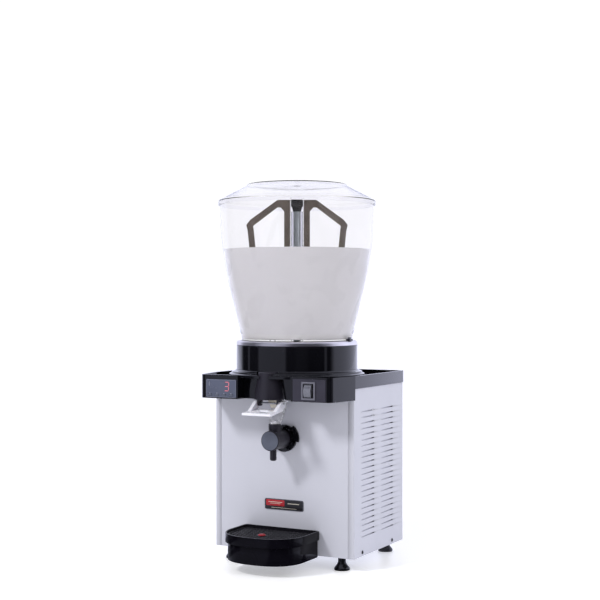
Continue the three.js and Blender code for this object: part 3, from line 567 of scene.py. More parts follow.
def lofted(rows: Sequence[tuple[np.ndarray, float]], axis: Axis = Axis.Z, loop: bool = False) -> Shape:
    """Surface through plans of as many points each, each carried to its height.

    Args:
        rows: (plan, height) of each section.
        axis: direction that the heights run in.
        loop: whether the last section joins the first; if not, both are filled.
    Returns:
        The shape.
    """
    sections = np.stack([placed(plan[:, 0], plan[:, 1], height, axis) for plan, height in rows])
    return Shape.grid(sections, loop=loop, caps=not loop)


def together(shapes: Sequence[Shape]) -> Shape:
    """Puts several shapes in one. Args: shapes, one or more. Returns: all of them."""
    return sum(shapes[1:], shapes[0])


def soft_prism(plan: np.ndarray, low: float, high: float, axis: Axis = Axis.Z, ease: float = 0.5) -> Shape:
    """Plan carried from low to high, drawn in at both ends along a quarter circle.

    Args:
        plan: closed plan.
        low: height of one end.
        high: height of the other.
        axis: direction that it is carried in.
        ease: radius of the end edges.
    Returns:
        The shape.
    """
    t = np.linspace(0, np.pi / 2, 4)
    inset, drop = ease * (1 - np.sin(t)), ease * (1 - np.cos(t))
    rows = [(step, low + rise) for step, rise in zip(inset, drop)]
    rows += [(step, high - rise) for step, rise in zip(inset[::-1], drop[::-1])]
    return lofted([(plan - outward(plan) * step, height) for step, height in rows], axis)


def band(outer: np.ndarray, inner: np.ndarray, low: float, high: float, ease: float = 0.4) -> Shape:
    """Wall between two plans with as many points each, with eased upper edges.

    Args:
        outer: outside plan.
        inner: inside plan.
        low: bottom.
        high: top.
        ease: size of the upper edges.
    Returns:
        The shape.
    """
    across = inner - outer
    step = across / np.maximum(np.linalg.norm(across, axis=1, keepdims=True), 1e-6)
    near, far = ease * 0.3, ease
    return lofted([
        (outer, low), (outer, high - far), (outer + step * near, high - near), (outer + step * far, high),
        (inner - step * far, high), (inner - step * near, high - near), (inner, high - far), (inner, low)],
        loop=True)


def rectangle(a: float, b: float, width: float, height: float, reach: float) -> np.ndarray:
    """Rounded rectangle about a, b. Args: a, b, width, height, reach of its corners. Returns: its plan."""
    w, h = width / 2, height / 2
    return eased([(a - w, b - h, reach), (a + w, b - h, reach), (a + w, b + h, reach), (a - w, b + h, reach)])


def mesh_of(name: str, shape: Shape, closed: bool = True) -> bpy.types.Object:
    """Puts a shape into a new object at the origin.

    Args:
        name: object name.
        shape: the shape.
        closed: whether its doubles are merged and its faces turned outward.
    Returns:
        The object.
    """
    mesh = bpy.data.meshes.new(name)
    mesh.from_pydata((shape.points * MM).tolist(), [], shape.faces)
    if closed:
        clean(mesh)
    mesh.shade_smooth()
    mesh.set_sharp_from_angle(angle=math.radians(SHARP))
    piece = bpy.data.objects.new(name, mesh)
    bpy.context.scene.collection.objects.link(piece)
    return piece


def clean(mesh: bpy.types.Mesh, flat: bool = False) -> None:
    """Merges doubles, drops loose parts and turns faces outward.

    Args:
        mesh: the mesh, changed in place.
        flat: whether flat neighbouring faces become one.
    """
    bm = bmesh.new()
    bm.from_mesh(mesh)
    bmesh.ops.remove_doubles(bm, verts=bm.verts, dist=2e-6)
    bmesh.ops.delete(bm, geom=[e for e in bm.edges if not e.link_faces], context="EDGES")
    bmesh.ops.recalc_face_normals(bm, faces=bm.faces)
    if flat:
        bmesh.ops.dissolve_limit(bm, angle_limit=math.radians(0.4), verts=bm.verts, edges=bm.edges,
                                 delimit={"NORMAL"})
    bm.to_mesh(mesh)
    bm.free()


def fit_out(piece: bpy.types.Object, finish: Finish, body: str, *stands_for: str) -> bpy.types.Object:
    """Gives a piece its finish and body, and hides the CAD nodes that it stands for.

    Args:
        piece: the object.
        finish: its finish.
        body: the body that it rides on.
        stands_for: CAD nodes that it replaces.
    Returns:
        The piece.
    """
    piece.data.materials.clear()
    piece.data.materials.append(WARDROBE.get(finish))
    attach(piece, body)
    if stands_for:
        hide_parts(*stands_for)
    LOG.info("%s rides on %s in %s", piece.name, body, finish.name)
    return piece


def build(name: str, shape: Shape, finish: Finish, body: str, *stands_for: str) -> bpy.types.Object:
    """Makes a closed piece from a shape.

    Args:
        name: its name.
        shape: its shape.
        finish: its finish.
        body: the body that it rides on.
        stands_for: CAD nodes that it replaces.
    Returns:
        The piece.
    """
    return fit_out(mesh_of(name, shape), finish, body, *stands_for)


def carve(piece: bpy.types.Object, cutter: Shape) -> bpy.types.Object:
    """Cuts a shape out of a piece for good.

    Args:
        piece: the object that is cut.
        cutter: the shape taken away.
    Returns:
        The piece.
    """
    tool = mesh_of("cutter", cutter)
    modifier = piece.modifiers.new("cut", "BOOLEAN")
    modifier.object, modifier.solver = tool, "EXACT"
    graph = bpy.context.evaluated_depsgraph_get()
    result = bpy.data.meshes.new_from_object(piece.evaluated_get(graph))
    piece.modifiers.clear()
    piece.data = result
    piece.data.shade_smooth()
    piece.data.set_sharp_from_angle(angle=math.radians(SHARP))
    bpy.data.objects.remove(tool)
    return piece


def refine(node: str, finish: Finish, ease: float = 0.5, segments: int = 3) -> bpy.types.Object:
    """Merged copy of a CAD node with smooth curves and eased edges.

    Args:
        node: the CAD node that the copy replaces.
        finish: its finish.
        ease: width of the eased edges in millimetres, or 0 for none.
        segments: spans across each eased edge.
    Returns:
        The copy.
    """
    source = frame["nodes"][node]
    mesh = source.data.copy()
    mesh.name = f"{node}_fine"
    clean(mesh, flat=True)
    mesh.shade_smooth()
    mesh.set_sharp_from_angle(angle=math.radians(SHARP_CAD))
    piece = bpy.data.objects.new(f"{node}_fine", mesh)
    bpy.context.scene.collection.objects.link(piece)
    if ease:
        modifier = piece.modifiers.new("eased edges", "BEVEL")
        modifier.width, modifier.segments = ease * MM, segments
        modifier.limit_method, modifier.angle_limit = "ANGLE", math.radians(SHARP_CAD)
        modifier.harden_normals = True
    return fit_out(piece, finish, source["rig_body"], node)


def paint(finish: Finish, *nodes: str) -> None:
    """Gives CAD nodes a finish in place. Args: finish. nodes, their names."""
    for node in nodes:
        piece = frame["nodes"][node]
        piece.data.materials.clear()
        piece.data.materials.append(WARDROBE.get(finish))
        LOG.info("%s keeps its shape in %s", node, finish.name)


# ---------------------------------------------------------------- cabinet


@dataclass
class SidePanel:
    """Side sheet with folded flanges and two columns of pressed louvres."""

    side: int
    half_width: float = 165.0
    front: float = PANEL_Y
    rear: float = 193.0
    flange: float = 13.5
    bottom: float = 26.4
    top: float = 373.7
    sheet: float = 1.2
    rows: int = 23
    first_row: float = 65.4
    pitch: float = 11.73
    slit: float = 2.6
    length: float = 63.5
    columns: tuple[float, ...] = (-21.0, 76.0)
    depth: float = 4.4
    fold: float = 1.2
    edge: float = 0.8
    mouth: float = 3.5
    shallow: float = 0.30

    @property
    def last_row(self) -> float:
        """Height of the top louvre's upper edge. Returns: the height."""
        return self.first_row + (self.rows - 1) * self.pitch + self.slit

    def _path(self) -> np.ndarray:
        """Plan line of the sheet from flange to flange. Returns: rows of (x, y)."""
        turn = np.linspace(0, np.pi / 2, 5)[1:-1]
        bend = self.half_width - self.fold
        front = np.array([[x, self.front] for x in (self.half_width - self.flange, bend - self.edge, bend)])
        corner = np.stack([bend + self.fold * np.sin(turn),
                           self.front + self.fold - self.fold * np.cos(turn)], 1)
        stops = [self.front + self.fold, self.front + self.fold + self.edge]
        for start in self.columns:
            end = start + self.length
            stops += [start - 0.6, start, start + 1.2, *np.linspace(start + 6, end - 6, 7),
                      end - 3.4, end - 0.4, end]
        face = np.array([[self.half_width, y] for y in (*stops, self.rear - 3, self.rear - self.fold)])
        mirror = np.array([1.0, -1.0])
        shift = np.array([0.0, self.front + self.rear])
        return np.vstack([front, corner, face, corner[::-1] * mirror + shift, front[::-1] * mirror + shift])

    def _dent(self, y: np.ndarray, z: np.ndarray) -> np.ndarray:
        """Depth of the pressing: a ramp along each louvre times a rounded trough across it.

        Args:
            y: places along the sheet.
            z: heights.
        Returns:
            Depth inward, on the grid of both.
        """
        along = np.zeros_like(y)
        for start in self.columns:
            t = (y - start) / self.length
            along = np.where((t > 0) & (t < 1), self.shallow + (1 - self.shallow) * t, along)
        row = np.mod(z - self.first_row, self.pitch)
        inside = (z > self.first_row - 0.1) & (z < self.last_row + 0.1)
        across = np.clip(np.minimum(row, self.slit - row) / 0.55, 0, 1) * inside
        return self.depth * along[:, None] * across[None, :]

    def make(self) -> bpy.types.Object:
        """Builds and dresses the sheet. Returns: the piece."""
        path = self._path()
        offsets = np.array([-0.9, -0.05, 0.5, 1.3, 2.1, self.slit + 0.05, self.slit + 0.9])
        starts = self.first_row + self.pitch * np.arange(self.rows)
        z = np.concatenate([[self.bottom, self.bottom + self.edge], (starts[:, None] + offsets[None]).ravel(),
                            [self.top - self.edge, self.top]])
        on_face = path[:, 0] > self.half_width - 1e-6
        dent = self._dent(path[:, 1], z) * on_face[:, None]
        x = self.side * (path[:, :1] - dent)
        points = np.stack(np.broadcast_arrays(x, path[:, 1:], z[None, :]), -1)
        mid_y = (path[1:, 1] + path[:-1, 1]) / 2
        mid_z = (z[1:] + z[:-1]) / 2
        near_end = np.zeros(len(mid_y), bool)
        for start in self.columns:
            end = start + self.length
            near_end |= (mid_y > end - self.mouth) & (mid_y < end)
        row = np.mod(mid_z - self.first_row, self.pitch)
        in_slit = (row > 0.1) & (row < self.slit - 0.1)
        in_slit &= (mid_z > self.first_row - 1) & (mid_z < self.last_row)
        face_mid = on_face[1:] & on_face[:-1]
        keep = ~(near_end[:, None] & in_slit[None, :] & face_mid[:, None])
        name = f"side_sheet_{'right' if self.side > 0 else 'left'}"
        piece = mesh_of(name, Shape.grid(points, ring=False, keep=keep, flip=self.side > 0), closed=False)
        wall = piece.modifiers.new("sheet", "SOLIDIFY")
        wall.thickness, wall.offset, wall.use_even_offset = self.sheet * MM, -1.0, False
        return fit_out(piece, WHITE_PAINT, "cabinet", name.replace("sheet", "panel"))


@dataclass
class Cabinet:
    """Painted box with its feet, screws, badge and the works inside."""

    foot_x: float = 130.0
    foot_front: float = -40.5
    foot_rear: float = 177.5
    foot_radius: float = 16.5

    def make(self, names: dict[str, str]) -> None:
        """Builds everything on the cabinet. Args: names, the CAD node of each foot body."""
        for side in (-1, 1):
            SidePanel(side).make()
        refine("front_panel", WHITE_PAINT, 0.35, 2)
        refine("rear_panel", WHITE_PAINT, 0.35, 2)
        refine("base_pan", STEEL, 0.4, 2)
        refine("mains_inlet", SATIN_BLACK, 0.4, 2)
        for body, node in names.items():
            self._foot(body, node)
        self._screws()
        self._badge()
        paint(COPPER, "evaporator_coil")
        paint(STEEL, "condenser", "fan_blade")
        paint(WORKS_GREY, "fan_motor", "gear_motor", "pump_motor")
        paint(WORKS_BLACK, "compressor")

    def _foot(self, body: str, node: str) -> None:
        """Bell-shaped levelling foot with a glossy skirt. Args: body. node, its CAD node."""
        row, side = body[-2:]
        x = -self.foot_x if side == "l" else self.foot_x
        y = self.foot_front if row == "f" else self.foot_rear
        r = self.foot_radius
        profile = eased([(0, 0, 0), (r - 0.4, 0, 0.4), (r, 3.6, 1.2), (r - 1.6, 6.4, 1.2), (10.4, 11.4, 2.4),
                         (8.4, 16.5, 2.4), (8.25, 26.1, 0.3), (4, 26.1, 0.2), (4, 42, 0.6), (0, 42, 0)])
        build(f"{body}_bell", turned(profile, (x, y, 0), segments=64), GLOSS_BLACK, body, node)

    def _screws(self) -> None:
        """Domed screw heads with a recess, two on each side."""
        for side, label in ((-1, "left"), (1, "right")):
            for place, y in (("front", -16.6), ("rear", 134.4)):
                profile = eased([(0, 0.9, 0), (0.9, 1.1, 0.2), (1.5, 1.8, 0.3), (2.4, 1.75, 0.4),
                                 (3.6, 1.0, 0.5), (4.0, 0.35, 0.1), (0, 0.35, 0)], 3)
                profile = profile * np.array([1.0, side]) + np.array([0.0, side * 165.0])
                node = f"side_screw_{label}_{place}"
                build(f"{node}_head", turned(profile, (0, y, 34.5), Axis.X, 28), SATIN_BLACK, "cabinet", node)

    def _badge(self) -> None:
        """Rounded plate with a red field, a fine rim and plain bars."""
        x, z, face = 2.75, 126.0, PANEL_Y - 1.5
        plate = soft_prism(rectangle(x, z, 92, 22.5, 4), face + 0.25, PANEL_Y - 0.3, Axis.Y, 0.25)
        edge, crest = rectangle(x, z, 90.4, 20.9, 3.6), rectangle(x, z, 89.6, 20.1, 3.2)
        rim = lofted([(edge, face + 0.3), (edge, face + 0.14), (crest, face + 0.14), (crest, face + 0.3)],
                     Axis.Y, loop=True)
        field = soft_prism(rectangle(x - 20.6, z + 2.9, 44.0, 12.8, 2.0), face + 0.03, face + 0.5,
                           Axis.Y, 0.1)
        bars = [(-20.6, 4.4, 33.0, 1.1), (-20.6, 1.4, 24.0, 0.8), (22.5, 3.0, 27.0, 1.4),
                (0.0, -7.2, 60.0, 0.7)]
        marks = [soft_prism(rectangle(x + a, z + b, width, height, 0.3), face, face + 0.5, Axis.Y, 0.05)
                 for a, b, width, height in bars]
        build("badge_body", plate, BADGE_BLACK, "cabinet", "badge_plate")
        build("badge_rim", rim, MARK, "cabinet")
        build("badge_field", field, BADGE_RED, "cabinet")
        build("badge_bars", together(marks), PALE_LINE, "cabinet")


# ---------------------------------------------------------------- controls


@dataclass
class Controls:
    """Console moulding with the display on its left and the switch on its right."""

    window_x: float = -101.5
    window_z: float = 371.7
    pane: float = -139.2
    digit_x: float = -87.7
    digit_z: float = 376.0
    digit_width: float = 9.6
    digit_height: float = 18.0
    stroke: float = 1.35
    slant: float = 0.06
    rocker_x: float = 101.3
    rocker_z: float = 373.3
    rocker_face: float = -142.6
    rocker_slope: float = 0.32 * 0.62

    def make(self) -> None:
        """Builds the console and its controls."""
        refine("console_top", GLOSS_BLACK, 1.3, 4)
        refine("switch_plate", PLATE_GREY, 0.5)
        refine("switch_bezel", BEZEL, 0.5)
        refine("switch_rocker", ROCKER, 0.4)
        refine("thermostat_body", SATIN_BLACK, 0.5)
        refine("display_window", PANE, 0.3)
        for index in range(1, 5):
            refine(f"thermostat_key_{index}", SLATE, 0.35)
        self._digit()
        self._marks()
        self._rocker_grips()
        self._painted_well_shade()

    def _digit(self) -> None:
        """Lit numeral three: five bars of a seven-bar display, each a stretched hexagon."""
        w, h, s = self.digit_width / 2, self.digit_height / 2, self.stroke / 2
        flat = np.array([(-w + s, 0), (-w + 2 * s, -s), (w - 2 * s, -s), (w - s, 0), (w - 2 * s, s),
                         (-w + 2 * s, s)])
        tall = np.array([(0, -h + s), (s, -h + 2 * s), (s, -2 * s), (0, -s), (-s, -2 * s), (-s, -h + 2 * s)])
        plans = [flat + (0, h), flat, flat - (0, h), tall + (w, 0), tall + (w, h)]
        plans = [plan + np.stack([plan[:, 1] * self.slant, 0 * plan[:, 1]], 1) for plan in plans]
        place = (self.digit_x, self.digit_z)
        shapes = [soft_prism(plan + place, self.pane - 0.12, self.pane + 0.4, Axis.Y, 0.04) for plan in plans]
        build("display_numeral", together(shapes), RED_GLOW, "cabinet")

    def _marks(self) -> None:
        """Plain pictures over the keys, a lamp bar and a fine line round the pane."""
        key_x = self.window_x - 27 + 17 * np.arange(4)
        z = self.window_z - 10.4
        arrow = np.array([(-2.2, -1.2), (2.2, -1.2), (0, 1.6)])
        bar = np.array([(-1.4, -0.8), (1.4, -0.8), (1.4, 0.8), (-1.4, 0.8)])
        plans = [arrow + (key_x[0], z), -arrow + (key_x[1], z), bar + (key_x[2], z),
                 rectangle(key_x[3], z, 2.8, 2.8, 1.2),
                 rectangle(self.window_x - 28.5, self.window_z + 9, 1.6, 9, 0.7)]
        shapes = [soft_prism(plan, self.pane - 0.1, self.pane + 0.4, Axis.Y, 0.04) for plan in plans]
        outer = rectangle(self.window_x, self.window_z, 70.6, 35.6, 1.4)
        inner = rectangle(self.window_x, self.window_z, 69.4, 34.4, 1.2)
        low, high = self.pane + 0.3, self.pane - 0.06
        ring = lofted([(outer, low), (outer, high), (inner, high), (inner, low)], Axis.Y, loop=True)
        build("display_marks", together([ring, *shapes]), MARK, "cabinet")

    def _rocker_grips(self) -> None:
        """Two raised grip bars across the rocker's upper half, stepped back along its slope."""
        bars = []
        for z in (378.0, 380.6):
            face = self.rocker_face + self.rocker_slope * (z - self.rocker_z)
            bars.append(soft_prism(rectangle(self.rocker_x, z, 11, 1.0, 0.45), face, -139.5, Axis.Y, 0.2))
        build("rocker_grips", together(bars), BEZEL, "rocker")

    def _painted_well_shade(self) -> None:
        """Painted shade: gloss black sheets on the back and the right side of the well that the rocker sits
        in.
        """
        back = soft_prism(rectangle(104.0, self.rocker_z, 23.6, 28.6, 0.5), -130.3, -129.4, Axis.Y, 0.1)
        side = soft_prism(rectangle(-134.8, self.rocker_z, 10.4, 28.6, 0.3), 115.3, 115.9, Axis.X, 0.1)
        build("switch_well_painted_shade", back + side, GLOSS_BLACK, "cabinet")


# ---------------------------------------------------------------- drum and bowl


@dataclass
class DrumAndBowl:
    """Gloss drum, turned steel plate, clear bowl with its drink, lid and stirrer."""

    radius: float = 129.6
    flange: float = 144.7
    wall: float = 3.5
    bottom: float = 393.8
    top: float = 459.7
    plate_top: float = 469.5
    base: float = 469.8
    floor: float = 3.2
    column: float = 12.5
    column_top: float = 744.0
    fill: float = 662.0
    shell: float = 2.0
    sleeve: float = 14.2
    sleeve_bore: float = 12.8
    hollow: float = 10.3
    bush_bore: float = 8.05
    heights: tuple[float, ...] = (473.5, 535, 600, 668, 715, 757, 764)
    radii: tuple[float, ...] = (118.4, 134, 149.8, 160.6, 164, 164.8, 164.8)

    def flare(self) -> np.ndarray:
        """Outside of the bowl: radius at each height, with its corners eased. Returns: rows of both."""
        height = np.append(np.linspace(self.heights[0], self.heights[-2], 26), self.heights[-1])
        radius = np.interp(height, self.heights, self.radii)
        smooth = radius.copy()
        smooth[1:-2] = (radius[:-3] + 2 * radius[1:-2] + radius[2:-1]) / 4
        return np.stack([smooth, height], 1)

    def make(self) -> None:
        """Builds the drum, plate, bowl, drink, lid, stirrer and catch."""
        self._drum()
        self._plate()
        self._bowl()
        self._drink()
        self._lid()
        self._stirrer()
        refine("latch_base", SATIN_BLACK, 0.4)
        refine("latch_tab", BEZEL, 0.3)

    def _drum(self) -> None:
        """Turned drum with its stepped flange, cut back round the tap cover."""
        r, f = self.radius, self.flange
        profile = eased([(r - self.wall, self.bottom, 0.3), (f, self.bottom, 0.8), (f, 399.4, 1.4),
                         (140.2, 401.0, 0.6), (138.9, 404.4, 1.0), (134, 405.6, 0.8), (r, 408.0, 2.0),
                         (r, self.top, 0.8), (r - self.wall, self.top, 0.6)])
        piece = mesh_of("drum_shell", turned(profile, BOWL_AXIS, segments=160))
        notch = rod(26.5, 380, 407.7, PANEL_Y - 57.8, 64)
        fit_out(carve(piece, notch), GLOSS_BLACK, "cabinet", "collar_drum")

    def _plate(self) -> None:
        """Steel plate whose rounded rim shows as a bright ring under the bowl."""
        r, top, bore = self.radius, self.plate_top, 11.05
        profile = eased([(bore, top - 3, 0.2), (r - 5, top - 3, 0.3), (r - 5, 460.0, 0.3),
                         (r - 0.6, 460.0, 0.5), (r, 461.4, 0.8), (r, top - 3.6, 2.4), (r - 2.2, top - 0.5, 1.6), (r - 6, top, 1.0),
                         (r - 14, top - 0.2, 1.0), (bore, top - 0.1, 0.2)])
        piece = mesh_of("steel_plate", turned(profile, BOWL_AXIS, segments=160))
        hole = rod(11.3, 455, 475, OUTLET_Y, 48)
        fit_out(carve(piece, hole), STEEL_PLATE, "cabinet", "cooling_plate")
        bush = eased([(self.bush_bore, 461, 0.1), (10.4, 461, 0.1), (10.4, top, 0.5),
                      (self.bush_bore, top, 0.3)])
        build("shaft_bush_ring", turned(bush, BOWL_AXIS, segments=48), MILKY, "cabinet", "shaft_bush")

    def _bowl(self) -> None:
        """Clear bowl: flared wall, beaded rim, flat floor and hollow column."""
        outer = self.flare()
        inner = outer[::-1] - np.array([self.shell, 0.0])
        floor = self.base + self.floor
        inner = inner[inner[:, 1] > floor + 5.5]
        first = outer[0, 0]
        start = eased([(self.hollow, self.base, 0.2), (first, self.base, 1.6), (first, outer[0, 1], 0)])[:-1]
        tail = eased([
            (inner[-1, 0], inner[-1, 1], 0), (first - 4.4, floor + 1.9, 1.6), (first - 8, floor, 1.6),
            (self.column + 3, floor, 1.2), (self.column, floor + 3, 1.2), (self.column, self.column_top, 0.6),
            (self.hollow, self.column_top, 0.4), (self.hollow, 480, 0)])
        profile = np.vstack([start, outer, inner[:-1], tail])
        piece = mesh_of("bowl_shell", turned(without_repeats(profile), BOWL_AXIS, segments=160))
        hole = rod(6, 460, 478, OUTLET_Y, 40)
        fit_out(carve(piece, hole), CLEAR, "bowl", "bowl")

    def _drink(self) -> None:
        """White drink: the bowl's inside less a hair of space, level on top with a raised edge."""
        gap, foot, level = 0.15, 473.7, self.fill
        flare = self.flare()
        wall = flare[(flare[:, 1] > 478) & (flare[:, 1] < level)] - np.array([self.shell + gap, 0.0])
        edge = np.interp(level, flare[:, 1], flare[:, 0]) - self.shell - gap
        top = np.array([(edge, level + 0.9), (edge - 0.6, level + 0.6), (edge - 1.8, level + 0.1),
                        (edge - 4, level), (100, level), (50, level), (18, level), (15.4, level + 0.4)])
        inside = np.array([(14.9, level + 0.6), (14.9, 500), (20.6, 497), (20.6, 480.5), (16, 478),
                           (16, foot), (wall[0, 0] - 3.6, foot)])
        build("drink", turned(np.vstack([wall, top, inside]), BOWL_AXIS, segments=160), MILK, "bowl")

    def _lid(self) -> None:
        """Clear lid: skirt over the rim, rounded shoulder, shallow cone and a raised flat with a dimple."""
        profile = eased([
            (0, 799.6, 0), (5.5, 799.8, 1.5), (8.5, 801.8, 1.4), (107, 802, 1.6), (110, 797.3, 1.8),
            (150, 777.0, 9), (162.6, 770.4, 2.5), (168, 766.6, 1.8), (168, 757, 0.5), (166, 757, 0.5),
            (166, 764.8, 0.8), (161.3, 768.4, 2.0), (149.2, 774.6, 9), (108, 795.1, 1.6), (105, 799.8, 1.6), (9, 799.6, 1.0),
            (6, 797.8, 1.0), (0, 797.7, 0)], 6)
        build("lid_shell", turned(profile, BOWL_AXIS, segments=160), CLEAR, "lid", "lid")

    def _stirrer(self) -> None:
        """Brown frame on a clear sleeve, with a dark hub that the shaft drives."""
        refine("agitator_frame", BROWN, 0.9)
        bore, low, high = self.sleeve_bore, 478, 776
        sleeve = eased([(bore, low, 0.2), (self.sleeve, low, 0.3), (self.sleeve, high, 0.4),
                        (bore, high, 0.3)])
        build("stirrer_sleeve", turned(sleeve, BOWL_AXIS, segments=64), CLEAR_SLEEVE, "stirrer",
              "agitator_sleeve")
        hub = eased([(0, 769.4, 0), (7, 769.6, 1), (12.5, 770, 0.6), (12.5, 755.5, 0.5), (11.1, 754.5, 0.3),
                     (8.9, 746, 0.5), (8.9, 744.3, 0.2), (self.bush_bore, 744.3, 0.1),
                     (self.bush_bore, 756.3, 0.1), (0, 756.3, 0)])
        build("stirrer_hub", turned(hub, BOWL_AXIS, segments=64), RUBBER, "stirrer", "agitator_hub")
        shaft = eased([(0, 399, 0), (7.75, 399, 0.5), (7.75, 755, 0.8), (6.8, 756, 0.3), (0, 756, 0)])
        build("shaft_bar", turned(shaft, BOWL_AXIS, segments=64), SHAFT_STEEL, "shaft", "drive_shaft")


# ---------------------------------------------------------------- tap and pump


class Tap:
    """Tapered cover, push lever, outlet and the clear feed tube."""

    def make(self) -> None:
        """Builds the tap."""
        refine("tap_cover", COVER_BLACK, 0.6)
        refine("tap_lever", MILKY, 0.8)
        refine("lever_pin", STEEL, 0.3)
        spout = eased([(5, 464.4, 0.2), (11, 464.4, 0.5), (11, 359, 1.5), (12, 357.4, 0.6), (12, 350.4, 1.2),
                       (9.0, 343.0, 2.0), (6.0, 335.6, 2.0), (5, 333, 0.6), (3, 333, 0.4), (3.8, 345, 1.0),
                       (7, 352, 1.0), (7, 440, 0.5), (5, 440, 0.2)])
        build("spout_tube", turned(spout, (0, OUTLET_Y, 0), segments=56), IVORY, "cabinet", "outlet_spout")
        seal = eased([(6, 464.7, 0.2), (10.8, 464.7, 0.3), (10.8, 469.5, 0.4), (6, 469.5, 0.4)])
        build("seal_ring", turned(seal, (0, OUTLET_Y, 0), segments=48), IVORY, "cabinet", "outlet_seal")
        plunger = eased([(0, 347, 0), (2.2, 347.6, 0.6), (3.2, 349.4, 0.8), (3.2, 400, 0.2), (6.2, 400, 0.4),
                         (6.2, 404, 0.4), (3.2, 404, 0.2), (3.2, 452, 0.6), (0, 453, 0)])
        build("plunger_rod", turned(plunger, (0, OUTLET_Y, 0), segments=40), MILKY, "plunger", "tap_plunger")
        spring = refine("tap_spring", STEEL, 0.0)
        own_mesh(spring)
        self._feed_tube()

    def _feed_tube(self) -> None:
        """Clear sleeve: an oval that widens as it is carried up a parabola, two millimetres thick."""
        t = np.linspace(0, 1, 25)[:, None]
        ends = np.array([[PUMP_X, COLLAR_Y, 300.3], [4, PANEL_Y - 24, 325], [2, PANEL_Y - 14, 362]])
        middle = (1 - t) ** 2 * ends[0] + 2 * t * (1 - t) * ends[1] + t**2 * ends[2]
        angle = np.linspace(0, 2 * np.pi, 56, endpoint=False)[None, :]

        def ring(wall: float) -> np.ndarray:
            """Sections of the tube drawn in by a wall. Args: wall. Returns: points."""
            half_x, half_y = 12.6 + 7 * t - wall, 12.6 - 2.6 * t - wall
            oval = np.stack([half_x * np.cos(angle), half_y * np.sin(angle),
                             np.zeros((len(t), angle.size))], -1)
            return oval + middle[:, None]

        sections = np.concatenate([ring(0.0), ring(2.0)[::-1]])
        build("feed_sleeve", Shape.grid(sections, loop=True), CLEAR_TUBE, "cabinet", "feed_tube")


@dataclass
class FoamPump:
    """Round pump that locks into a bayonet socket on the front."""

    z: float = 266.0
    face: float = PANEL_Y - 66.0
    radius: float = 20.0

    def make(self) -> None:
        """Builds the pump."""
        refine("bayonet_flange", GLOSS_BLACK, 0.5)
        refine("pump_body", SATIN_BLACK, 0.6)
        refine("pump_impeller", MILKY, 0.3)
        r, centre = self.radius + 0.6, (PUMP_X, 0, self.z)
        cap = eased([(0, 0.35, 0), (r - 1.6, 0.35, 0.3), (r - 1.4, 0.05, 0.3), (r - 0.5, 0.05, 0.5),
                     (r, 0.9, 0.6), (r, 7.7, 0.4), (16, 7.7, 0.2), (16, 11, 0.3), (0, 11, 0)])
        build("pump_front", turned(cap + (0, self.face), centre, Axis.Y, 96), SATIN_BLACK, "pump", "pump_cap")
        disc = eased([(0, 0.02, 0), (2.2, 0.02, 0.6), (2.8, 0.22, 0.3), (4.4, 0.22, 0.4), (5, 0.02, 0.4),
                      (r - 1.3, 0.02, 0.4), (r - 1.3, 0.6, 0.1), (0, 0.6, 0)])
        build("pump_face", turned(disc + (0, self.face), centre, Axis.Y, 96), SLATE, "pump")
        ribs = []
        for z in (290.2, 293.0):
            ring = eased([(12.5, z, 0), (12.5, z + 1.2, 0), (13.05, z + 0.9, 0.3), (13.05, z + 0.3, 0.3)])
            ribs.append(turned(ring, (PUMP_X, COLLAR_Y, 0), segments=64))
        build("collar_ribs", together(ribs), SATIN_BLACK, "pump")


# ---------------------------------------------------------------- drip tray


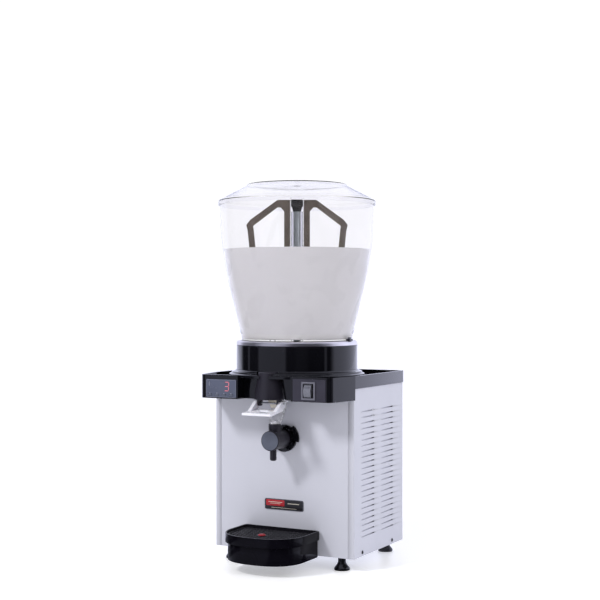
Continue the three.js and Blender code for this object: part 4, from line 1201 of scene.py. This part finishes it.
@dataclass
class DripTray:
    """D-shaped tray in its holder, with a lattice grid and a float."""

    x: float = -0.5
    half: float = 88.5
    straight: float = 55.0
    front: float = 138.0
    bow: float = 2.5
    top: float = 79.0
    seat: float = 70.8
    split: float = 59.5
    bottom: float = 23.5
    curve: int = 73
    button: tuple[float, float, float] = (-6.0, PANEL_Y - 79.0, 0.0)

    def plan(self, inset: float, back: float) -> np.ndarray:
        """D-shaped plan: straight sides, then half a superellipse, |x/a|^n + |y/b|^n = 1, n the bow.

        Args:
            inset: step in from the outside.
            back: space to the front panel.
        Returns:
            The closed plan.
        """
        half, reach = self.half - inset, self.front - self.straight - inset
        t = np.linspace(np.pi, 2 * np.pi, self.curve)
        power = 2 / self.bow
        bow = np.stack([half * np.sign(np.cos(t)) * np.abs(np.cos(t)) ** power,
                        -self.straight - reach * np.abs(np.sin(t)) ** power], 1)
        side = np.linspace(-back - 2.5, -self.straight, 8)[:-1]
        corner = np.array([[half - 2.5, -back], [-half + 2.5, -back]])
        left = np.stack([np.full(7, -half), side], 1)
        right = np.stack([np.full(7, half), side[::-1]], 1)
        return np.vstack([corner, left, bow, right]) + (self.x, PANEL_Y)

    def _tub(self, rows: Sequence[tuple[float, float, float]]) -> Shape:
        """Tub whose sections are insets of the plan, from its underside round to its inside floor.

        Args:
            rows: (inset, back, height) of each section.
        Returns:
            The shape.
        """
        return lofted([(self.plan(inset, back), height) for inset, back, height in rows])

    def make(self) -> None:
        """Builds the tray."""
        b, s, top = self.bottom, self.split, self.top
        holder = self._tub([(6.2, 0.6, b), (5.3, 0.4, b + 0.5), (5.0, 0.3, b + 1.4), (5.0, 0.3, s - 0.6),
                            (5.3, 0.5, s), (7.2, 3.0, s), (7.5, 3.3, s - 0.5), (7.5, 3.3, b + 3.2), (8.6, 4.2, b + 2.5)])
        back = soft_prism(rectangle(self.x, 67.2, 144, 17.4, 2), PANEL_Y - 2.6, PANEL_Y - 0.3, Axis.Y, 0.4)
        build("tray_cradle", holder + back, TRAY_BLACK, "cabinet", "tray_holder")
        tray = self._tub([(9.4, 5.4, b + 3.5), (8.3, 4.3, b + 4.0), (8, 4, b + 5), (8, 4, s + 0.2),
                          (1.0, 3.6, s + 0.3), (0.2, 3.3, s + 0.8), (0.0, 3.2, s + 1.8),
                          (0.0, 3.2, top - 1.2), (0.4, 3.4, top - 0.35),
                          (1.1, 3.9, top), (2.4, 5.4, top), (3.0, 6.0, top - 0.3), (3.4, 6.4, top - 1.0),
                          (3.4, 6.4, self.seat + 0.2), (10.0, 6.8, self.seat), (10.5, 7.0, self.seat - 0.5),
                          (10.5, 7, b + 7), (11.8, 8.2, b + 5.5)])
        build("tray_tub", tray, TRAY_BLACK, "tray", "drip_tray")
        # Painted highlight: a thin light grey band along the top of the tray's lip
        edge, crest = self.plan(0.75, 3.8), self.plan(1.25, 4.3)
        build("tray_rim_highlight", band(edge, crest, top - 0.3, top, 0.1), BEZEL, "tray")
        self._grid()
        button = eased([(0, 34.1, 0), (13, 34.1, 0.8), (13, 39.8, 0.8), (3, 39.8, 0.4), (3, 66.8, 0.4),
                        (8.3, 66.8, 0.4), (8.3, 75.0, 1.6), (6.4, 77.0, 2.4), (0, 77.6, 0)])
        build("float_button", turned(button, self.button, segments=64), RED, "float", "tray_float")

    def _inside(self, x: np.ndarray, y: np.ndarray, inset: float) -> np.ndarray:
        """Whether points lie inside the plan. Args: x, y, points. inset, step in. Returns: a mask."""
        half, reach = self.half - inset, self.front - self.straight - inset
        px, py = x - self.x, y - PANEL_Y
        ahead = np.abs(np.minimum(py + self.straight, 0) / reach)
        bow = np.abs(px / half) ** self.bow + ahead ** self.bow < 1
        return bow & (np.abs(px) < half) & (py < -24)

    def _bars(self, slope: float, low: float, high: float, pitch: float, width: float) -> Shape:
        """Parallel bars at a slope, each cut off where it leaves the plan or meets the float's ring.

        Args:
            slope: rise of a bar per unit across.
            low: underside.
            high: top.
            pitch: spacing across.
            width: bar width.
        Returns:
            The shape.
        """
        unit = np.array([1, slope]) / math.hypot(1, slope)
        side = np.array([-unit[1], unit[0]])
        reach = np.linspace(-170, 170, 1361)
        shapes: list[Shape] = []
        centre = np.array([self.x, PANEL_Y - 80])
        for step in np.arange(-150, 150, pitch):
            line = centre + side * step + reach[:, None] * unit
            open_here = self._inside(line[:, 0], line[:, 1], 6.0)
            open_here &= np.hypot(line[:, 0] - self.button[0], line[:, 1] - self.button[1]) > 9.6
            change = np.flatnonzero(np.diff(np.concatenate([[False], open_here, [False]]).astype(int)))
            for start, end in zip(change[::2], change[1::2]):
                if end - start > 8:
                    a, b = line[start], line[end - 1]
                    half = side * width / 2
                    plan, ridge = (np.stack([a - edge, b - edge, b + edge, a + edge])
                                   for edge in (half, 0.6 * half))
                    shapes.append(lofted([(plan, low), (plan, high - 0.5), (ridge, high)]))
        return together(shapes)

    def _grid(self) -> None:
        """Lattice of crossing bars in a frame, a slotted strip at the back and a ring for the float."""
        outer, inner = self.plan(3.8, 6.8), self.plan(8.4, 9.6)
        lattice = band(outer, inner, 71.1, 74.8)
        lattice += self._bars(0.62, 71.8, 74.5, 7.6, 2.0)
        lattice += self._bars(-0.62, 72.0, 74.3, 7.6, 2.0)
        ring = eased([(8.8, 71.1, 0.2), (11.2, 71.1, 0.2), (11.2, 74.8, 0.5), (8.8, 74.8, 0.5)])
        lattice += turned(ring, self.button, segments=40)
        strip = 2 * (self.half - 6.5)
        for y in PANEL_Y - np.array([22.5, 13.8]):
            lattice += soft_prism(rectangle(self.x, y, strip, 3.4, 0.6), 71.2, 74.7, Axis.Z, 0.5)
        for x in self.x + np.linspace(-72, 72, 17):
            lattice += soft_prism(rectangle(x, PANEL_Y - 18.2, 3.0, 8.4, 0.5), 71.3, 74.6, Axis.Z, 0.4)
        lattice += soft_prism(rectangle(self.x, PANEL_Y - 10.6, strip, 4.0, 0.6), 71.2, 74.65, Axis.Z, 0.4)
        build("grid_lattice", lattice, TRAY_BLACK, "grid", "drip_grid")


# ---------------------------------------------------------------- studio


@dataclass
class Studio:
    """Pale floor, white surroundings, soft boxes and the camera."""

    camera_place: tuple[float, float, float] = (1.2584, -2.3440, 0.5553)
    camera_turn: float = 28.03
    lens: float = 74.67
    aim: tuple[float, float, float] = (0, 0, 0.3)
    floor_reach: float = 30000.0
    floor_drop: float = 0.4
    bands: tuple[tuple[float, ...], ...] = (
        (-46, 4, 6, 0.6), (82, 85, 2, 0.45), (-76, -73, 2, 0.4), (30, 44, 8, 0.06))

    def make(self) -> None:
        """Sets the scene."""
        scene = bpy.context.scene
        scene.view_settings.view_transform = "Standard"
        self._camera(scene)
        self.surround = self._surround()
        self._world(scene)
        self._floor()
        self._box("key", (-1.0, -1.9, 2.1), 0.45, 0.45, 44)
        self._box("fill", (1.9, -0.5, 1.2), 1.2, 1.4, 11)

    def _camera(self, scene: bpy.types.Scene) -> None:
        """Puts the camera in place. Args: scene."""
        data = bpy.data.cameras.new("camera")
        data.lens, data.sensor_width = self.lens, 36.0
        data.clip_start, data.clip_end = 0.05, 100.0
        camera = bpy.data.objects.new("camera", data)
        camera.location = self.camera_place
        camera.rotation_euler = (math.radians(90), 0, math.radians(self.camera_turn))
        scene.collection.objects.link(camera)
        scene.camera = camera

    def _box(self, name: str, place: Sequence[float], width: float, height: float, power: float) -> None:
        """Soft box light that faces the machine.

        Args:
            name: light name.
            place: where it hangs.
            width: its width in metres.
            height: its height in metres.
            power: watts.
        """
        data = bpy.data.lights.new(name, "AREA")
        data.shape, data.size, data.size_y, data.energy = "RECTANGLE", width, height, power
        light = bpy.data.objects.new(name, data)
        light.location = place
        step = np.asarray(self.aim, float) - np.asarray(place, float)
        light.rotation_euler = (math.acos(-step[2] / np.linalg.norm(step)), 0,
                                math.atan2(step[1], step[0]) - math.pi / 2)
        light.visible_glossy = False
        bpy.context.scene.collection.objects.link(light)

    def _surround(self) -> bpy.types.NodeTree:
        """Brightness of the room that gloss sees, by direction round the machine.

        White walls at the sides and back, a soft box left of the front, two thin
        strips, and dark between them; each band is the product of two soft steps
        of the angle from the front, atan2(x, -y). bands holds its rows of start, end,
        softness and level.
        Returns:
            The group.
        """
        graph, given, result = new_group("surround", {"X": 0.0, "Y": 0.0}, ["Level"])
        front = graph.math("ARCTAN2", given.outputs["X"], graph.times(given.outputs["Y"], -1.0))
        turn = graph.times(front, 57.2958)
        total = graph.times(graph.ramp(graph.math("ABSOLUTE", turn), 92, 106, smooth=True), 1.45)
        for start, end, soft, level in self.bands:
            rise = graph.ramp(turn, start - soft, start, smooth=True)
            fall = graph.ramp(turn, end, end + soft, 1, 0, True)
            total = graph.math("ADD", total, graph.times(graph.times(rise, fall), level))
        graph.feed(result.inputs["Level"], graph.math("ADD", total, 0.02))
        return graph.tree

    def _gloss(self, graph: Graph) -> bpy.types.NodeSocket:
        """Whether a ray is a reflection. Args: graph. Returns: 1 for a reflection, else 0."""
        path = graph.add("ShaderNodeLightPath")
        return graph.times(path.outputs["Is Glossy Ray"],
                           graph.math("SUBTRACT", 1.0, path.outputs["Is Transmission Ray"]))

    def _level(self, graph: Graph,
               vector: bpy.types.NodeSocket) -> tuple[bpy.types.NodeSocket, bpy.types.NodeSocket]:
        """Room brightness towards a place or in a direction.

        Args:
            graph: where the nodes go.
            vector: the place or direction.
        Returns:
            The brightness and the vector's height.
        """
        x, y, z = graph.split(vector)
        room = graph.add("ShaderNodeGroup", node_tree=self.surround, X=x, Y=y)
        return room.outputs["Level"], z

    def _world(self, scene: bpy.types.Scene) -> None:
        """Bright room for the floor and the eye, and the banded one for gloss.

        Args:
            scene: gets the world.
        """
        world = bpy.data.worlds.new("studio")
        world.use_nodes = True
        scene.world = world
        graph = Graph(world.node_tree)
        back = graph.tree.nodes["Background"]
        way = graph.add("ShaderNodeTexCoord")
        level, height = self._level(graph, way.outputs["Generated"])
        ceiling = graph.times(graph.ramp(height, 0.62, 0.75, smooth=True), 0.95)
        gloss = self._gloss(graph)
        path = graph.add("ShaderNodeLightPath")
        seen = graph.math("MAXIMUM", path.outputs["Is Camera Ray"], path.outputs["Is Transmission Ray"])
        plain = graph.mix(seen, 0.55, 1.06, colour=False)
        graph.feed(back.inputs["Strength"],
                   graph.mix(gloss, plain, graph.math("MAXIMUM", level, ceiling), colour=False))
        graph.feed(back.inputs["Color"], graph.mix(gloss, WHITE, COOL))

    def _floor(self) -> None:
        """Wide pale floor that glows a little; gloss sees the room's bands carried on over it."""
        reach = np.linspace(-self.floor_reach, self.floor_reach, 3)
        x, y = np.meshgrid(reach, reach, indexing="ij")
        sheet = np.stack([x, y, np.full_like(x, -self.floor_drop)], -1)
        piece = mesh_of("studio_floor", Shape.grid(sheet, ring=False, flip=True), closed=False)
        material = bpy.data.materials.new("pale floor")
        material.use_nodes = True
        graph = Graph(material.node_tree)
        shader = graph.tree.nodes["Principled BSDF"]
        shader.inputs["Roughness"].default_value = 0.35
        shader.inputs["Specular IOR Level"].default_value = 0.3
        gloss = self._gloss(graph)
        tone = graph.mix(gloss, (0.86, 0.86, 0.88, 1.0), (0.02, 0.02, 0.03, 1.0))
        level, _ = self._level(graph, graph.add("ShaderNodeTexCoord").outputs["Object"])
        glow = graph.mix(gloss, 0.34, graph.times(level, 0.9), colour=False)
        graph.feed(shader.inputs["Base Color"], tone)
        graph.feed(shader.inputs["Emission Strength"], glow)
        graph.feed(shader.inputs["Emission Color"], graph.mix(gloss, WHITE, COOL))
        piece.data.materials.append(material)


def foot_nodes() -> dict[str, str]:
    """CAD node of each foot body. Returns: body name to node name."""
    bodies = frame["record"]["behaviour"]["bodies"]
    return {body: nodes[0] for body, nodes in bodies.items() if body.startswith("foot_")}


def main() -> None:
    """Builds the machine and the studio."""
    logging.basicConfig(level=logging.INFO, format="%(name)s: %(message)s")
    Studio().make()
    Cabinet().make(foot_nodes())
    Controls().make()
    DrumAndBowl().make()
    Tap().make()
    FoamPump().make()
    DripTray().make()


if __name__ == "__main__":
    main()
